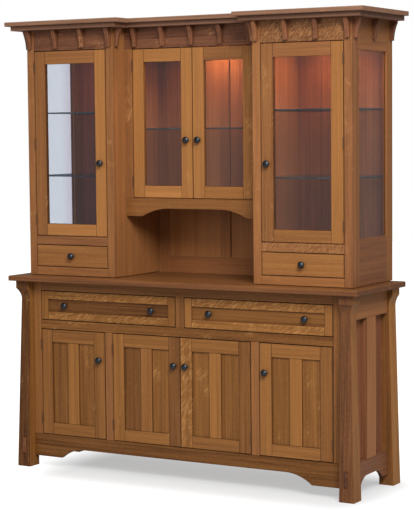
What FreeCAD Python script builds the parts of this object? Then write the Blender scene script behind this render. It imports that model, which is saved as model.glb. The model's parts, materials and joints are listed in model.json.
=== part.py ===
import FreeCAD
import Part
import math
import os

# China cabinet: a base with four panelled doors and two wide drawers, and on it a breakfront
# hutch with two glazed towers, a recessed glazed centre and an open serving niche.
# Millimetres. +X is to the right, the front faces -Y and +Z is up. The origin is on the
# floor under the middle of the cabinet. A depth is counted forward from the wall plane.

Vector = FreeCAD.Vector

# Base, widths
BODY_WIDTH = 1652.0
CENTRE_BAY = 740.0
BASE_STILE = 48.0
DOOR_MULLION = 41.0
DRAWER_MULLION = 44.0

# Base, heights from the floor up
FLOOR_GAP = 50.0
APRON_HEIGHT = 109.0
BASE_DOOR_OPENING = 512.0
MID_RAIL = 42.0
BASE_DRAWER_OPENING = 142.0
TOP_RAIL = 45.0
COUNTER_THICK = 25.0

# Base, depths from the wall
BASE_FACE_DEPTH = 447.0
COUNTER_LIP = 66.0
LEG_BEHIND_FACE = 30.0
REAR_LEG_DEPTH = 76.0

# Countertop
COUNTER_OVERHANG = 30.0
COUNTER_EASE = 5.0

# Legs: a tapered post, a cove and a square block under the countertop
FOOT_WIDTH = 72.0
FOOT_DEPTH = 76.0
WAIST_WIDTH = 49.0
WAIST_DEPTH = 54.0
COVE_FLARE = 19.0
COVE_HEIGHT = 52.0
BLOCK_HEIGHT = 36.0

# Through tenons of the side rails, which show on the fronts of the front legs
TENON_WIDTH = 17.0
TENON_HEIGHT = 73.0
TENON_LIFT = 17.0
TENON_PROUD = 7.0
TENON_CHAMFER = 3.0

# Base sides
SIDE_THICK = 42.0
SIDE_TOP_RAIL = 113.0
SIDE_MUNTIN = 94.0
SIDE_LEDGE = 34.0
SIDE_PANEL_THICK = 8.0
SIDE_PANEL_INSET = 6.0

# Arched lower edges: length of the flat ends, then the run and rise of the curve
APRON_FLAT = 155.0
APRON_RUN = 132.0
APRON_RISE = 47.0
SIDE_FLAT = 58.0
SIDE_RUN = 67.0
SIDE_RISE = 38.0
ARCH_FLAT = 89.0
ARCH_RUN = 142.0
ARCH_RISE = 38.0

# Hutch, widths and depths set from the base
HUTCH_OVERHANG = 33.5
TOWER_LAP = 1.0
TOWER_SETBACK = 32.0
BREAKFRONT = 100.0
TOWER_STILE = 41.0
CENTRE_STILE = 42.0

# Hutch, heights from the countertop up
TOWER_BOTTOM_RAIL = 42.0
TOWER_DRAWER_OPENING = 107.0
TOWER_MID_RAIL = 41.0
TOWER_DOOR_OPENING = 881.0
FRIEZE_HEIGHT = 97.0
CENTRE_DOOR_OPENING = 698.0
ARCHED_RAIL_HEIGHT = 86.0

# Glazed outer sides of the towers
TOWER_SIDE_THICK = 20.0
TOWER_SIDE_FRONT_STILE = 46.0
TOWER_SIDE_BACK_STILE = 60.0
TOWER_SIDE_TOP_RAIL = 138.0
TOWER_SIDE_BOTTOM_RAIL = 210.0
INNER_SIDE_THICK = 18.0

# Backs
BACK_FRAME_THICK = 20.0
BACK_BOTTOM_RAIL = 80.0
BACK_TOP_RAIL = 80.0
BACK_STILE = 50.0
BACK_MUNTIN = 56.0
BACK_PANEL_THICK = 8.0
BACK_PANEL_INSET = 4.0
PLY_THICK = 8.0
BASE_BACK_INSET = 6.0

# Cornice
BED_THICK = 21.0
BED_END_OVERHANG = 59.5
BED_FRONT_OVERHANG = 49.0
BED_INNER_OVERHANG = 44.0
CAP_THICK = 20.0
CAP_STEP = 21.0
CORNICE_EASE = 3.0

# Corbels under the cornice
CORBEL_WIDTH = 19.0
CORBEL_HEIGHT = 88.0
CORBEL_TOP = 33.0
CORBEL_BOTTOM = 15.0
CORBEL_HOLLOW = 3.0
CORBEL_LIP = 8.0
CORBEL_FOOT = 11.0
CORBEL_EDGE = 20.5
CORBELS_PER_TOWER = 4
CORBELS_IN_CENTRE = 5
CENTRE_CORBEL_EDGE = 61.0
CORBELS_PER_SIDE = 3

# Frames and doors
FRAME_THICK = 20.0
DOOR_GAP = 3.0
DOOR_STILE = 60.0
DOOR_TOP_RAIL = 61.0
DOOR_BOTTOM_RAIL = 56.0
DOOR_MUNTIN = 62.0
PANEL_THICK = 7.0
PANEL_RECESS = 8.0
GLASS_THICK = 4.0
GLASS_RECESS = 8.0
GROOVE_DEPTH = 8.0
FIT = 0.3

# Drawers
DRAWER_BORDER = 38.0
BOX_SIDE_THICK = 12.0
BOX_BOTTOM_THICK = 6.0
BOX_BOTTOM_LIFT = 8.0
BOX_SIDE_GAP = 9.0
BOX_LIFT = 5.0
BASE_BOX_HEIGHT = 100.0
BASE_BOX_REAR_GAP = 23.0
TOWER_BOX_HEIGHT = 76.0
TOWER_BOX_REAR_GAP = 42.0
RUNNER_WIDTH = 30.0
RUNNER_DROP = 30.0

# Inside boards
BOARD_THICK = 18.0
SHELF_HEIGHT = 235.0
SHELF_SETBACK = 30.0
SHELF_PLAY = 2.0
GLASS_SHELF_THICK = 6.0
TOWER_SHELF_LOW = 283.0
TOWER_SHELF_HIGH = 583.0
CENTRE_SHELF_HEIGHT = 321.0
PIN_RADIUS = 2.5
PIN_LENGTH = 9.0
PIN_FROM_EDGE = 25.0
PIN_FROM_MUNTIN_EDGE = 11.5

# Knobs: back plate, neck, flare, edge and dome
KNOB_RADIUS = 16.0
KNOB_PLATE_RADIUS = 10.5
KNOB_PLATE_THICK = 2.5
KNOB_NECK_RADIUS = 6.0
KNOB_NECK_LENGTH = 4.0
KNOB_LIP = 1.5
KNOB_EDGE = 1.5
KNOB_DOME = 9.0
KNOB_FROM_EDGE = 29.5
BASE_KNOB_DROP = 135.0
TOWER_KNOB_LIFT = 348.0
CENTRE_KNOB_LIFT = 271.0
DRAWER_KNOB_INNER = 132.0
DRAWER_KNOB_OUTER = 137.0

# Hinges: leaves in the door gap and a slim barrel in front of the face
HINGE_LENGTH = 50.0
HINGE_FROM_END = 75.0
TALL_DOOR_HINGE_COUNT = 3
DOOR_HINGE_COUNT = 2
LEAF_THICK = 1.2
LEAF_DEPTH = 16.0
BARREL_RADIUS = 3.0
HINGE_PIN_RADIUS = 1.5
HINGE_PIN_PLAY = 0.05

# Catches behind the doors' free edges
CATCH_WIDTH = 40.0
CATCH_DEPTH = 13.0
CATCH_HEIGHT = 34.0
CATCH_LAP = 15.0
CATCH_FROM_EDGE = 72.0

# Lights under the hutch ceilings
LIGHT_RADIUS = 34.0
LIGHT_HEIGHT = 14.0
LENS_RADIUS = 28.0
LENS_THICK = 3.0

# Heights and places that follow from the sizes above
COUNTER_DEPTH = BASE_FACE_DEPTH + COUNTER_LIP
FRONT_LEG_BACK = BASE_FACE_DEPTH - LEG_BEHIND_FACE
Y_BACK = COUNTER_DEPTH / 2
LEG_X = BODY_WIDTH / 2
APRON_TOP = FLOOR_GAP + APRON_HEIGHT
BASE_DOOR_TOP = APRON_TOP + BASE_DOOR_OPENING
DRAWER_LOW = BASE_DOOR_TOP + MID_RAIL
DRAWER_HIGH = DRAWER_LOW + BASE_DRAWER_OPENING
COUNTER_LOW = DRAWER_HIGH + TOP_RAIL
COUNTER_TOP = COUNTER_LOW + COUNTER_THICK
BAY_X = CENTRE_BAY / 2
MULLION_X = BAY_X + DOOR_MULLION
OPENING_X = LEG_X - BASE_STILE
BASE_FRAME_BACK = BASE_FACE_DEPTH - FRAME_THICK
BASE_BACK_FRONT = BASE_BACK_INSET + PLY_THICK
BASE_BOX_LENGTH = BASE_FRAME_BACK - BASE_BACK_FRONT - BASE_BOX_REAR_GAP
BLOCK_X = LEG_X + WAIST_WIDTH + COVE_FLARE
TENON_X0 = LEG_X + SIDE_THICK - TENON_WIDTH
TENON_Z0 = FLOOR_GAP + TENON_LIFT
SIDE_POST_MIDDLE = (REAR_LEG_DEPTH + FRONT_LEG_BACK) / 2
SIDE_POST_BACK = SIDE_POST_MIDDLE - SIDE_MUNTIN / 2
SIDE_POST_FRONT = SIDE_POST_MIDDLE + SIDE_MUNTIN / 2
FRONT_PIN_DEPTH = SIDE_POST_FRONT - PIN_FROM_MUNTIN_EDGE
HUTCH_X = LEG_X + HUTCH_OVERHANG
INNER_X = BAY_X - TOWER_LAP
TOWER_WIDTH = HUTCH_X - INNER_X
TOWER_DEPTH = BASE_FACE_DEPTH - TOWER_SETBACK
CENTRE_DEPTH = TOWER_DEPTH - BREAKFRONT
TOWER_ROOM_X0 = INNER_X + INNER_SIDE_THICK
TOWER_ROOM_X1 = HUTCH_X - TOWER_SIDE_THICK
TOWER_OPEN_X0 = INNER_X + TOWER_STILE
TOWER_OPEN_X1 = HUTCH_X - TOWER_STILE
TOWER_FRAME_BACK = TOWER_DEPTH - FRAME_THICK
TOWER_BOX_LENGTH = TOWER_FRAME_BACK - PLY_THICK - TOWER_BOX_REAR_GAP
CENTRE_FRAME_BACK = CENTRE_DEPTH - FRAME_THICK
CENTRE_OPEN_X = INNER_X - CENTRE_STILE
TOWER_DRAWER_LOW = COUNTER_TOP + TOWER_BOTTOM_RAIL
TOWER_DRAWER_HIGH = TOWER_DRAWER_LOW + TOWER_DRAWER_OPENING
TOWER_DOOR_LOW = TOWER_DRAWER_HIGH + TOWER_MID_RAIL
TOWER_DOOR_HIGH = TOWER_DOOR_LOW + TOWER_DOOR_OPENING
HUTCH_TOP = TOWER_DOOR_HIGH + FRIEZE_HEIGHT
CENTRE_DOOR_LOW = TOWER_DOOR_HIGH - CENTRE_DOOR_OPENING
ARCH_LOW = CENTRE_DOOR_LOW - ARCHED_RAIL_HEIGHT
CEILING_LOW = HUTCH_TOP - BOARD_THICK
BED_TOP = HUTCH_TOP + BED_THICK
CAP_TOP = BED_TOP + CAP_THICK
BARREL_STAND = BARREL_RADIUS + FIT

nodes = {}


def add(name, *solids):
    """Puts solids into a named node."""
    nodes.setdefault(name, []).extend(solids)


def mirrored(shape):
    """The same shape on the other side of the cabinet."""
    return shape.mirror(Vector(0, 0, 0), Vector(1, 0, 0))


def both(name, *solids):
    """Puts solids and their mirror images into a named node."""
    for solid in solids:
        add(name, solid, mirrored(solid))


def at(x, depth, z):
    """A point from its side, its depth from the wall and its height."""
    return Vector(x, Y_BACK - depth, z)


def board(x0, x1, depth0, depth1, z0, z1):
    """A square board between two sides, two depths and two heights."""
    return Part.makeBox(x1 - x0, depth1 - depth0, z1 - z0, at(x0, depth1, z0))


def eased(shape, radius, chosen):
    """Rounds the straight edges that the test picks by their middle point."""
    edges = [edge for edge in shape.Edges if chosen(edge.CenterOfMass)]
    return shape.makeFillet(radius, edges)


def prism(edges, along):
    """Extrudes a closed outline."""
    return Part.Face(Part.Wire(edges)).extrude(along)


def path(points):
    """Straight edges through points."""
    return [Part.LineSegment(a, b).toShape() for a, b in zip(points, points[1:])]


# Joinery

def arch_edges(half, flat, run, rise, low, high, place):
    """Outline of a rail whose lower edge rises from flat ends to a long low arch."""
    radius = (run * run + rise * rise) / (2 * rise)
    turn = math.asin(run / radius) / 2
    crown = half - flat - run
    middle_x = crown + radius * math.sin(turn)
    middle_z = low + rise - radius * (1 - math.cos(turn))
    edges = path([place(-crown, low + rise), place(crown, low + rise)])
    edges += [Part.Arc(place(crown, low + rise), place(middle_x, middle_z),
                       place(half - flat, low)).toShape()]
    edges += path([place(half - flat, low), place(half, low), place(half, high), place(-half, high),
                   place(-half, low), place(flat - half, low)])
    edges += [Part.Arc(place(flat - half, low), place(-middle_x, middle_z),
                       place(-crown, low + rise)).toShape()]
    return edges


def grooved(piece, x0, x1, depth0, depth1, z0, z1):
    """Cuts a panel groove from a board."""
    return piece.cut(board(x0, x1, depth0, depth1, z0, z1))


def frame_and_panel(x0, x1, z0, z1, face, stile, top, bottom, muntin, recess, thick):
    """A framed leaf with panels or glass in grooves.

    Returns the frame's boards and the panels apart.  Rails and the muntin have stub tenons
    as wide as the groove, less the fit.
    """
    back = face - FRAME_THICK
    groove1 = face - recess
    groove0 = groove1 - thick
    inner0 = x0 + stile
    inner1 = x1 - stile
    low = z0 + bottom
    high = z1 - top
    stub = GROOVE_DEPTH - FIT
    left = grooved(board(x0, inner0, back, face, z0, z1),
                   inner0 - GROOVE_DEPTH, inner0, groove0, groove1, z0, z1)
    right = grooved(board(inner1, x1, back, face, z0, z1),
                    inner1, inner1 + GROOVE_DEPTH, groove0, groove1, z0, z1)
    frame = [left, right]
    for rail0, rail1, edge0, edge1 in ((z0, low, low - GROOVE_DEPTH, low),
                                       (high, z1, high, high + GROOVE_DEPTH)):
        rail = board(inner0, inner1, back, face, rail0, rail1)
        tenon = board(inner0 - stub, inner1 + stub, groove0, groove1, rail0, rail1)
        frame.append(grooved(rail.fuse(tenon), inner0 - stub, inner1 + stub, groove0, groove1, edge0, edge1))
    bays = [(inner0, inner1)]
    if muntin:
        middle = (inner0 + inner1) / 2
        post0 = middle - muntin / 2
        post1 = middle + muntin / 2
        post = board(post0, post1, back, face, low, high)
        post = post.fuse(board(post0, post1, groove0, groove1, low - stub, high + stub))
        for edge0 in (post0, post1 - GROOVE_DEPTH):
            post = grooved(post, edge0, edge0 + GROOVE_DEPTH, groove0, groove1, low - stub, high + stub)
        frame.append(post)
        bays = [(inner0, post0), (post1, inner1)]
    panels = [board(a - stub, b + stub, groove0, groove1, low - stub, high + stub) for a, b in bays]
    return frame, panels


# Hardware

def knob(x, z, face):
    """A round knob on a small back plate, turned about its own axis."""
    def spot(radius, out):
        return at(x + radius, face + out, z)

    neck = KNOB_NECK_RADIUS
    flare = KNOB_RADIUS - KNOB_LIP - neck
    bend = flare * math.sqrt(0.5)
    flare_low = KNOB_PLATE_THICK + KNOB_NECK_LENGTH
    flare_high = flare_low + flare
    edge_low = flare_high + KNOB_LIP
    edge_high = edge_low + KNOB_EDGE
    tip = edge_high + KNOB_DOME
    ball = (KNOB_RADIUS * KNOB_RADIUS + KNOB_DOME * KNOB_DOME) / (2 * KNOB_DOME)
    half_turn = math.asin(KNOB_RADIUS / ball) / 2
    dome = spot(ball * math.sin(half_turn), tip - ball * (1 - math.cos(half_turn)))
    edges = path([spot(0, 0), spot(KNOB_PLATE_RADIUS, 0), spot(KNOB_PLATE_RADIUS, KNOB_PLATE_THICK),
                  spot(neck, KNOB_PLATE_THICK), spot(neck, flare_low)])
    edges += [Part.Arc(spot(neck, flare_low), spot(neck + flare - bend, flare_low + bend),
                       spot(neck + flare, flare_high)).toShape()]
    edges += path([spot(neck + flare, flare_high), spot(KNOB_RADIUS, edge_low), spot(KNOB_RADIUS, edge_high)])
    edges += [Part.Arc(spot(KNOB_RADIUS, edge_high), dome, spot(0, tip)).toShape()]
    edges += path([spot(0, tip), spot(0, 0)])
    return Part.Face(Part.Wire(edges)).revolve(at(x, face, z), Vector(0, 1, 0), 360)


def hinge(frame_x, way, face, middle_z):
    """A slim butt hinge in a door gap: the frame's leaf with the pin, and the door's leaf.

    way is +1 where the door lies on the +X side of the frame's edge.
    """
    door_x = frame_x + way * DOOR_GAP
    axis_x = frame_x + way * DOOR_GAP / 2
    low = middle_z - HINGE_LENGTH / 2
    third = HINGE_LENGTH / 3

    def leaf(edge, inward, depth0, depth1, z0, z1):
        far = edge + inward * LEAF_THICK
        return board(min(edge, far), max(edge, far), depth0, depth1, z0, z1)

    def barrel(radius, z0, z1):
        return Part.makeCylinder(radius, z1 - z0, at(axis_x, face + BARREL_STAND, z0))

    def knuckle(edge, inward, z0, z1):
        return barrel(BARREL_RADIUS, z0, z1).fuse(leaf(edge, inward, face, face + BARREL_STAND, z0, z1))

    fixed = leaf(frame_x, way, face - LEAF_DEPTH, face, low, low + HINGE_LENGTH)
    fixed = fixed.fuse(knuckle(frame_x, way, low, low + third))
    fixed = fixed.fuse(knuckle(frame_x, way, low + 2 * third, low + HINGE_LENGTH))
    fixed = fixed.fuse(barrel(HINGE_PIN_RADIUS, low, low + HINGE_LENGTH))
    moving = leaf(door_x, -way, face - LEAF_DEPTH, face, low, low + HINGE_LENGTH)
    moving = moving.fuse(knuckle(door_x, -way, low + third + FIT, low + 2 * third - FIT))
    moving = moving.cut(barrel(HINGE_PIN_RADIUS + HINGE_PIN_PLAY, low, low + HINGE_LENGTH))
    return fixed, moving


def hang(name, frame_x, way, face, heights):
    """Hangs a door: the frame's leaves join the fixed node, and the door's leaves its hardware."""
    for height in heights:
        fixed, moving = hinge(frame_x, way, face, height)
        add("hinge_frame_leaves", fixed)
        add(name + "_hardware", moving)


def catch(edge_x, way, frame_back, rail_low):
    """A magnetic catch on the back of a rail, reaching down behind the door's free corner."""
    near = edge_x + way * CATCH_FROM_EDGE
    far = near + way * CATCH_WIDTH
    front = frame_back - FIT
    low = rail_low - CATCH_LAP
    add("door_catches", board(min(near, far), max(near, far), front - CATCH_DEPTH, front,
                              low, low + CATCH_HEIGHT))


# Legs

def leg_edges(foot, waist, place):
    """Outline of a leg seen square on: tapered post, cove and block."""
    cove_high = COUNTER_LOW - BLOCK_HEIGHT
    cove_low = cove_high - COVE_HEIGHT
    radius = (COVE_FLARE * COVE_FLARE + COVE_HEIGHT * COVE_HEIGHT) / (2 * COVE_FLARE)
    turn = math.asin(COVE_HEIGHT / radius) / 2
    bend = place(waist + radius * (1 - math.cos(turn)), cove_low + radius * math.sin(turn))
    block = waist + COVE_FLARE
    edges = path([place(0, 0), place(foot, 0), place(waist, cove_low)])
    edges += [Part.Arc(place(waist, cove_low), bend, place(block, cove_high)).toShape()]
    edges += path([place(block, cove_high), place(block, COUNTER_LOW), place(0, COUNTER_LOW), place(0, 0)])
    return edges


def make_legs():
    """Four legs: the front pair flares forward and outward, the rear pair outward alone."""
    reach = FOOT_WIDTH + FOOT_DEPTH + COVE_FLARE
    from_front = prism(leg_edges(FOOT_WIDTH, WAIST_WIDTH, lambda u, z: at(LEG_X + u, 0, z)),
                       Vector(0, -COUNTER_DEPTH, 0))
    from_side = prism(leg_edges(FOOT_DEPTH, WAIST_DEPTH, lambda u, z: at(LEG_X, FRONT_LEG_BACK + u, z)),
                      Vector(reach, 0, 0))
    mortise = board(TENON_X0 - FIT, TENON_X0 + TENON_WIDTH + FIT, FRONT_LEG_BACK, COUNTER_DEPTH,
                    TENON_Z0 - FIT, TENON_Z0 + TENON_HEIGHT + FIT)
    both("legs", from_front.common(from_side).cut(mortise))
    both("legs", from_front.common(board(LEG_X, LEG_X + reach, 0, REAR_LEG_DEPTH, 0, COUNTER_LOW)))


# Base

def make_base_frame():
    """Face frame between the front legs, and the arched apron under it."""
    back = BASE_FRAME_BACK
    face = BASE_FACE_DEPTH
    both("base_face_frame", board(OPENING_X, LEG_X, back, face, APRON_TOP, COUNTER_LOW),
         board(BAY_X, MULLION_X, back, face, APRON_TOP, BASE_DOOR_TOP))
    half_mullion = DRAWER_MULLION / 2
    add("base_face_frame", board(-OPENING_X, OPENING_X, back, face, DRAWER_HIGH, COUNTER_LOW),
        board(-OPENING_X, OPENING_X, back, face, BASE_DOOR_TOP, DRAWER_LOW),
        board(-half_mullion, half_mullion, back, face, DRAWER_LOW, DRAWER_HIGH))
    outline = arch_edges(LEG_X, APRON_FLAT, APRON_RUN, APRON_RISE, FLOOR_GAP, APRON_TOP,
                         lambda x, z: at(x, back, z))
    add("front_apron", prism(outline, Vector(0, -FRAME_THICK, 0)))


def make_base_sides():
    """Base sides: thick rails and a muntin, thin panels deep in grooves, and through tenons.

    Below its ledge the low rail is a skirt as thick as its tenon.
    """
    x0 = LEG_X
    x1 = LEG_X + SIDE_THICK
    panel0 = LEG_X + SIDE_PANEL_INSET
    panel1 = panel0 + SIDE_PANEL_THICK
    rail_low = COUNTER_LOW - SIDE_TOP_RAIL
    half = (FRONT_LEG_BACK - REAR_LEG_DEPTH) / 2
    post0 = SIDE_POST_BACK
    post1 = SIDE_POST_FRONT
    stub = GROOVE_DEPTH - FIT
    top = board(x0, x1, REAR_LEG_DEPTH, FRONT_LEG_BACK, rail_low, COUNTER_LOW)
    top = grooved(top, panel0, panel1, REAR_LEG_DEPTH, FRONT_LEG_BACK, rail_low, rail_low + GROOVE_DEPTH)
    outline = arch_edges(half, SIDE_FLAT, SIDE_RUN, SIDE_RISE, FLOOR_GAP, APRON_TOP,
                         lambda u, z: at(x0, SIDE_POST_MIDDLE + u, z))
    low = prism(outline, Vector(SIDE_THICK, 0, 0))
    low = grooved(low, panel0, panel1, REAR_LEG_DEPTH, FRONT_LEG_BACK, APRON_TOP - GROOVE_DEPTH, APRON_TOP)
    low = low.cut(board(x0, TENON_X0, REAR_LEG_DEPTH, FRONT_LEG_BACK, FLOOR_GAP, APRON_TOP - SIDE_LEDGE))
    tip = leg_front(TENON_Z0) + TENON_PROUD
    tenon = board(TENON_X0, TENON_X0 + TENON_WIDTH, FRONT_LEG_BACK, tip, TENON_Z0, TENON_Z0 + TENON_HEIGHT)
    ends = [edge for edge in tenon.Edges if abs(edge.CenterOfMass.y - at(0, tip, 0).y) < FIT]
    low = low.fuse(tenon.makeChamfer(TENON_CHAMFER, ends))
    post = board(x0, x1, post0, post1, APRON_TOP, rail_low)
    post = post.fuse(board(panel0, panel1, post0, post1, APRON_TOP - stub, rail_low + stub))
    for edge0 in (post0, post1 - GROOVE_DEPTH):
        post = grooved(post, panel0, panel1, edge0, edge0 + GROOVE_DEPTH, APRON_TOP - stub, rail_low + stub)
    both("base_side_frames", top, low, post)
    for depth0, depth1 in ((REAR_LEG_DEPTH + FIT, post0 + stub), (post1 - stub, FRONT_LEG_BACK - FIT)):
        both("base_side_panels", board(panel0, panel1, depth0, depth1, APRON_TOP - stub, rail_low + stub))


def leg_front(z):
    """Depth of the front legs' front face at a height below the cove."""
    cove_low = COUNTER_LOW - BLOCK_HEIGHT - COVE_HEIGHT
    return FRONT_LEG_BACK + FOOT_DEPTH + (WAIST_DEPTH - FOOT_DEPTH) * z / cove_low


def make_base_inside():
    """Back, floor, partitions, loose shelves on pins, and drawer runners of the base."""
    floor_low = APRON_TOP - BOARD_THICK
    back = BASE_BACK_FRONT
    add("base_back", board(-LEG_X, LEG_X, BASE_BACK_INSET, back, floor_low, COUNTER_LOW))
    add("base_inside_boards", board(-LEG_X, LEG_X, back, BASE_FRAME_BACK, floor_low, APRON_TOP))
    partition0 = (BAY_X + MULLION_X - BOARD_THICK) / 2
    partition1 = partition0 + BOARD_THICK
    runner_top = DRAWER_LOW + BOX_LIFT - FIT
    runner_low = DRAWER_LOW - RUNNER_DROP
    both("base_inside_boards", board(partition0, partition1, back, BASE_FRAME_BACK, APRON_TOP, runner_low))
    shelf_low = APRON_TOP + SHELF_HEIGHT
    shelf_high = shelf_low + BOARD_THICK
    front = BASE_FRAME_BACK - SHELF_SETBACK
    shelf_back = back + SHELF_PLAY
    both("base_inside_boards", board(partition1 + SHELF_PLAY, LEG_X - SHELF_PLAY, shelf_back, front,
                                     shelf_low, shelf_high))
    add("base_inside_boards", board(-partition0 + SHELF_PLAY, partition0 - SHELF_PLAY, shelf_back, front,
                                    shelf_low, shelf_high))
    for depth in (REAR_LEG_DEPTH - PIN_FROM_EDGE, FRONT_PIN_DEPTH):
        both("shelf_pins", pin(partition0, -1, depth, shelf_low), pin(partition1, 1, depth, shelf_low),
             pin(LEG_X, -1, depth, shelf_low))
    for edge, way in ((DRAWER_MULLION / 2, 1), (OPENING_X, -1)):
        near = edge + way * (BOX_SIDE_GAP - FIT)
        far = near + way * RUNNER_WIDTH
        both("drawer_runners", board(min(near, far), max(near, far), back, BASE_FRAME_BACK,
                                     runner_low, runner_top))


def pin(wall_x, way, depth, shelf_low):
    """A shelf pin standing out of a wall just under a shelf."""
    return Part.makeCylinder(PIN_RADIUS, PIN_LENGTH, at(wall_x, depth, shelf_low - PIN_RADIUS - FIT),
                             Vector(way, 0, 0))


def make_countertop():
    """Countertop with rounded front and end edges."""
    end = BLOCK_X + COUNTER_OVERHANG
    slab = board(-end, end, 0, COUNTER_DEPTH, COUNTER_LOW, COUNTER_TOP)
    front_y = at(0, COUNTER_DEPTH, 0).y

    def shows(point):
        return point.y < front_y + FIT or abs(point.x) > end - FIT and point.y < Y_BACK - FIT

    add("countertop", eased(slab, COUNTER_EASE, shows))


# Hutch

def make_towers():
    """Tower carcasses: face frames, glazed outer sides, inner sides, decks, backs and shelves."""
    back = TOWER_FRAME_BACK
    face = TOWER_DEPTH
    both("tower_face_frames", board(INNER_X, TOWER_OPEN_X0, back, face, COUNTER_TOP, HUTCH_TOP),
         board(TOWER_OPEN_X1, HUTCH_X, back, face, COUNTER_TOP, HUTCH_TOP),
         board(TOWER_OPEN_X0, TOWER_OPEN_X1, back, face, COUNTER_TOP, TOWER_DRAWER_LOW),
         board(TOWER_OPEN_X0, TOWER_OPEN_X1, back, face, TOWER_DRAWER_HIGH, TOWER_DOOR_LOW),
         board(TOWER_OPEN_X0, TOWER_OPEN_X1, back, face, TOWER_DOOR_HIGH, HUTCH_TOP))
    make_tower_sides()
    both("tower_inner_sides", board(INNER_X, TOWER_ROOM_X0, 0, back, COUNTER_TOP, HUTCH_TOP))
    both("hutch_back_panels", board(TOWER_ROOM_X0, TOWER_ROOM_X1, 0, PLY_THICK, COUNTER_TOP, HUTCH_TOP))
    for low in (COUNTER_TOP, TOWER_DOOR_LOW - BOARD_THICK, CEILING_LOW):
        both("hutch_decks", board(TOWER_ROOM_X0, TOWER_ROOM_X1, PLY_THICK, back, low, low + BOARD_THICK))
    for height in (TOWER_SHELF_LOW, TOWER_SHELF_HIGH):
        low = TOWER_DOOR_LOW + height
        both("glass_shelves", board(TOWER_ROOM_X0 + SHELF_PLAY, TOWER_ROOM_X1 - SHELF_PLAY,
                                    PLY_THICK + SHELF_PLAY, back - SHELF_PLAY,
                                    low, low + GLASS_SHELF_THICK))
        for depth in (TOWER_SIDE_BACK_STILE - PIN_FROM_EDGE, back - PIN_FROM_EDGE):
            both("shelf_pins", pin(TOWER_ROOM_X0, 1, depth, low), pin(TOWER_ROOM_X1, -1, depth, low))
    for edge, way in ((TOWER_OPEN_X0, 1), (TOWER_OPEN_X1, -1)):
        near = edge + way * (BOX_SIDE_GAP - FIT)
        far = near + way * RUNNER_WIDTH
        both("drawer_runners", board(min(near, far), max(near, far), PLY_THICK, back,
                                     COUNTER_TOP + BOARD_THICK, TOWER_DRAWER_LOW + BOX_LIFT - FIT))


def make_tower_sides():
    """Glazed outer side: two stiles, two rails with stub tenons, and a pane in the grooves."""
    x0 = TOWER_ROOM_X1
    x1 = HUTCH_X
    pane1 = x1 - GLASS_RECESS
    pane0 = pane1 - GLASS_THICK
    front = TOWER_FRAME_BACK
    stub = GROOVE_DEPTH - FIT
    open0 = TOWER_SIDE_BACK_STILE
    open1 = front - TOWER_SIDE_FRONT_STILE
    low = COUNTER_TOP + TOWER_SIDE_BOTTOM_RAIL
    high = HUTCH_TOP - TOWER_SIDE_TOP_RAIL
    back_stile = grooved(board(x0, x1, 0, open0, COUNTER_TOP, HUTCH_TOP), pane0, pane1,
                         open0 - GROOVE_DEPTH, open0, COUNTER_TOP, HUTCH_TOP)
    front_stile = grooved(board(x0, x1, open1, front, COUNTER_TOP, HUTCH_TOP), pane0, pane1,
                          open1, open1 + GROOVE_DEPTH, COUNTER_TOP, HUTCH_TOP)
    both("tower_side_frames", back_stile, front_stile)
    for z0, z1, edge in ((COUNTER_TOP, low, low - GROOVE_DEPTH), (high, HUTCH_TOP, high)):
        rail = board(x0, x1, open0, open1, z0, z1)
        rail = rail.fuse(board(pane0, pane1, open0 - stub, open1 + stub, z0, z1))
        both("tower_side_frames", grooved(rail, pane0, pane1, open0 - stub, open1 + stub,
                                          edge, edge + GROOVE_DEPTH))
    both("side_glass", board(pane0, pane1, open0 - stub, open1 + stub, low - stub, high + stub))


def make_centre():
    """Recessed centre: face frame over an arched rail, decks, framed back and a glass shelf."""
    back = CENTRE_FRAME_BACK
    face = CENTRE_DEPTH
    both("centre_face_frame", board(CENTRE_OPEN_X, INNER_X, back, face, CENTRE_DOOR_LOW, TOWER_DOOR_HIGH))
    add("centre_face_frame", board(-INNER_X, INNER_X, back, face, TOWER_DOOR_HIGH, HUTCH_TOP))
    outline = arch_edges(INNER_X, ARCH_FLAT, ARCH_RUN, ARCH_RISE, ARCH_LOW, CENTRE_DOOR_LOW,
                         lambda x, z: at(x, back, z))
    add("arched_rail", prism(outline, Vector(0, -FRAME_THICK, 0)))
    for low in (CENTRE_DOOR_LOW - BOARD_THICK, CEILING_LOW):
        add("hutch_decks", board(-INNER_X, INNER_X, BACK_FRAME_THICK, back, low, low + BOARD_THICK))
    make_centre_back()
    low = CENTRE_DOOR_LOW + CENTRE_SHELF_HEIGHT
    half = INNER_X - SHELF_PLAY
    add("glass_shelves", board(-half, half, BACK_FRAME_THICK + SHELF_PLAY, back - SHELF_PLAY, low,
                               low + GLASS_SHELF_THICK))
    for depth in (BACK_FRAME_THICK + PIN_FROM_EDGE, back - PIN_FROM_EDGE):
        both("shelf_pins", pin(INNER_X, -1, depth, low))


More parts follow.
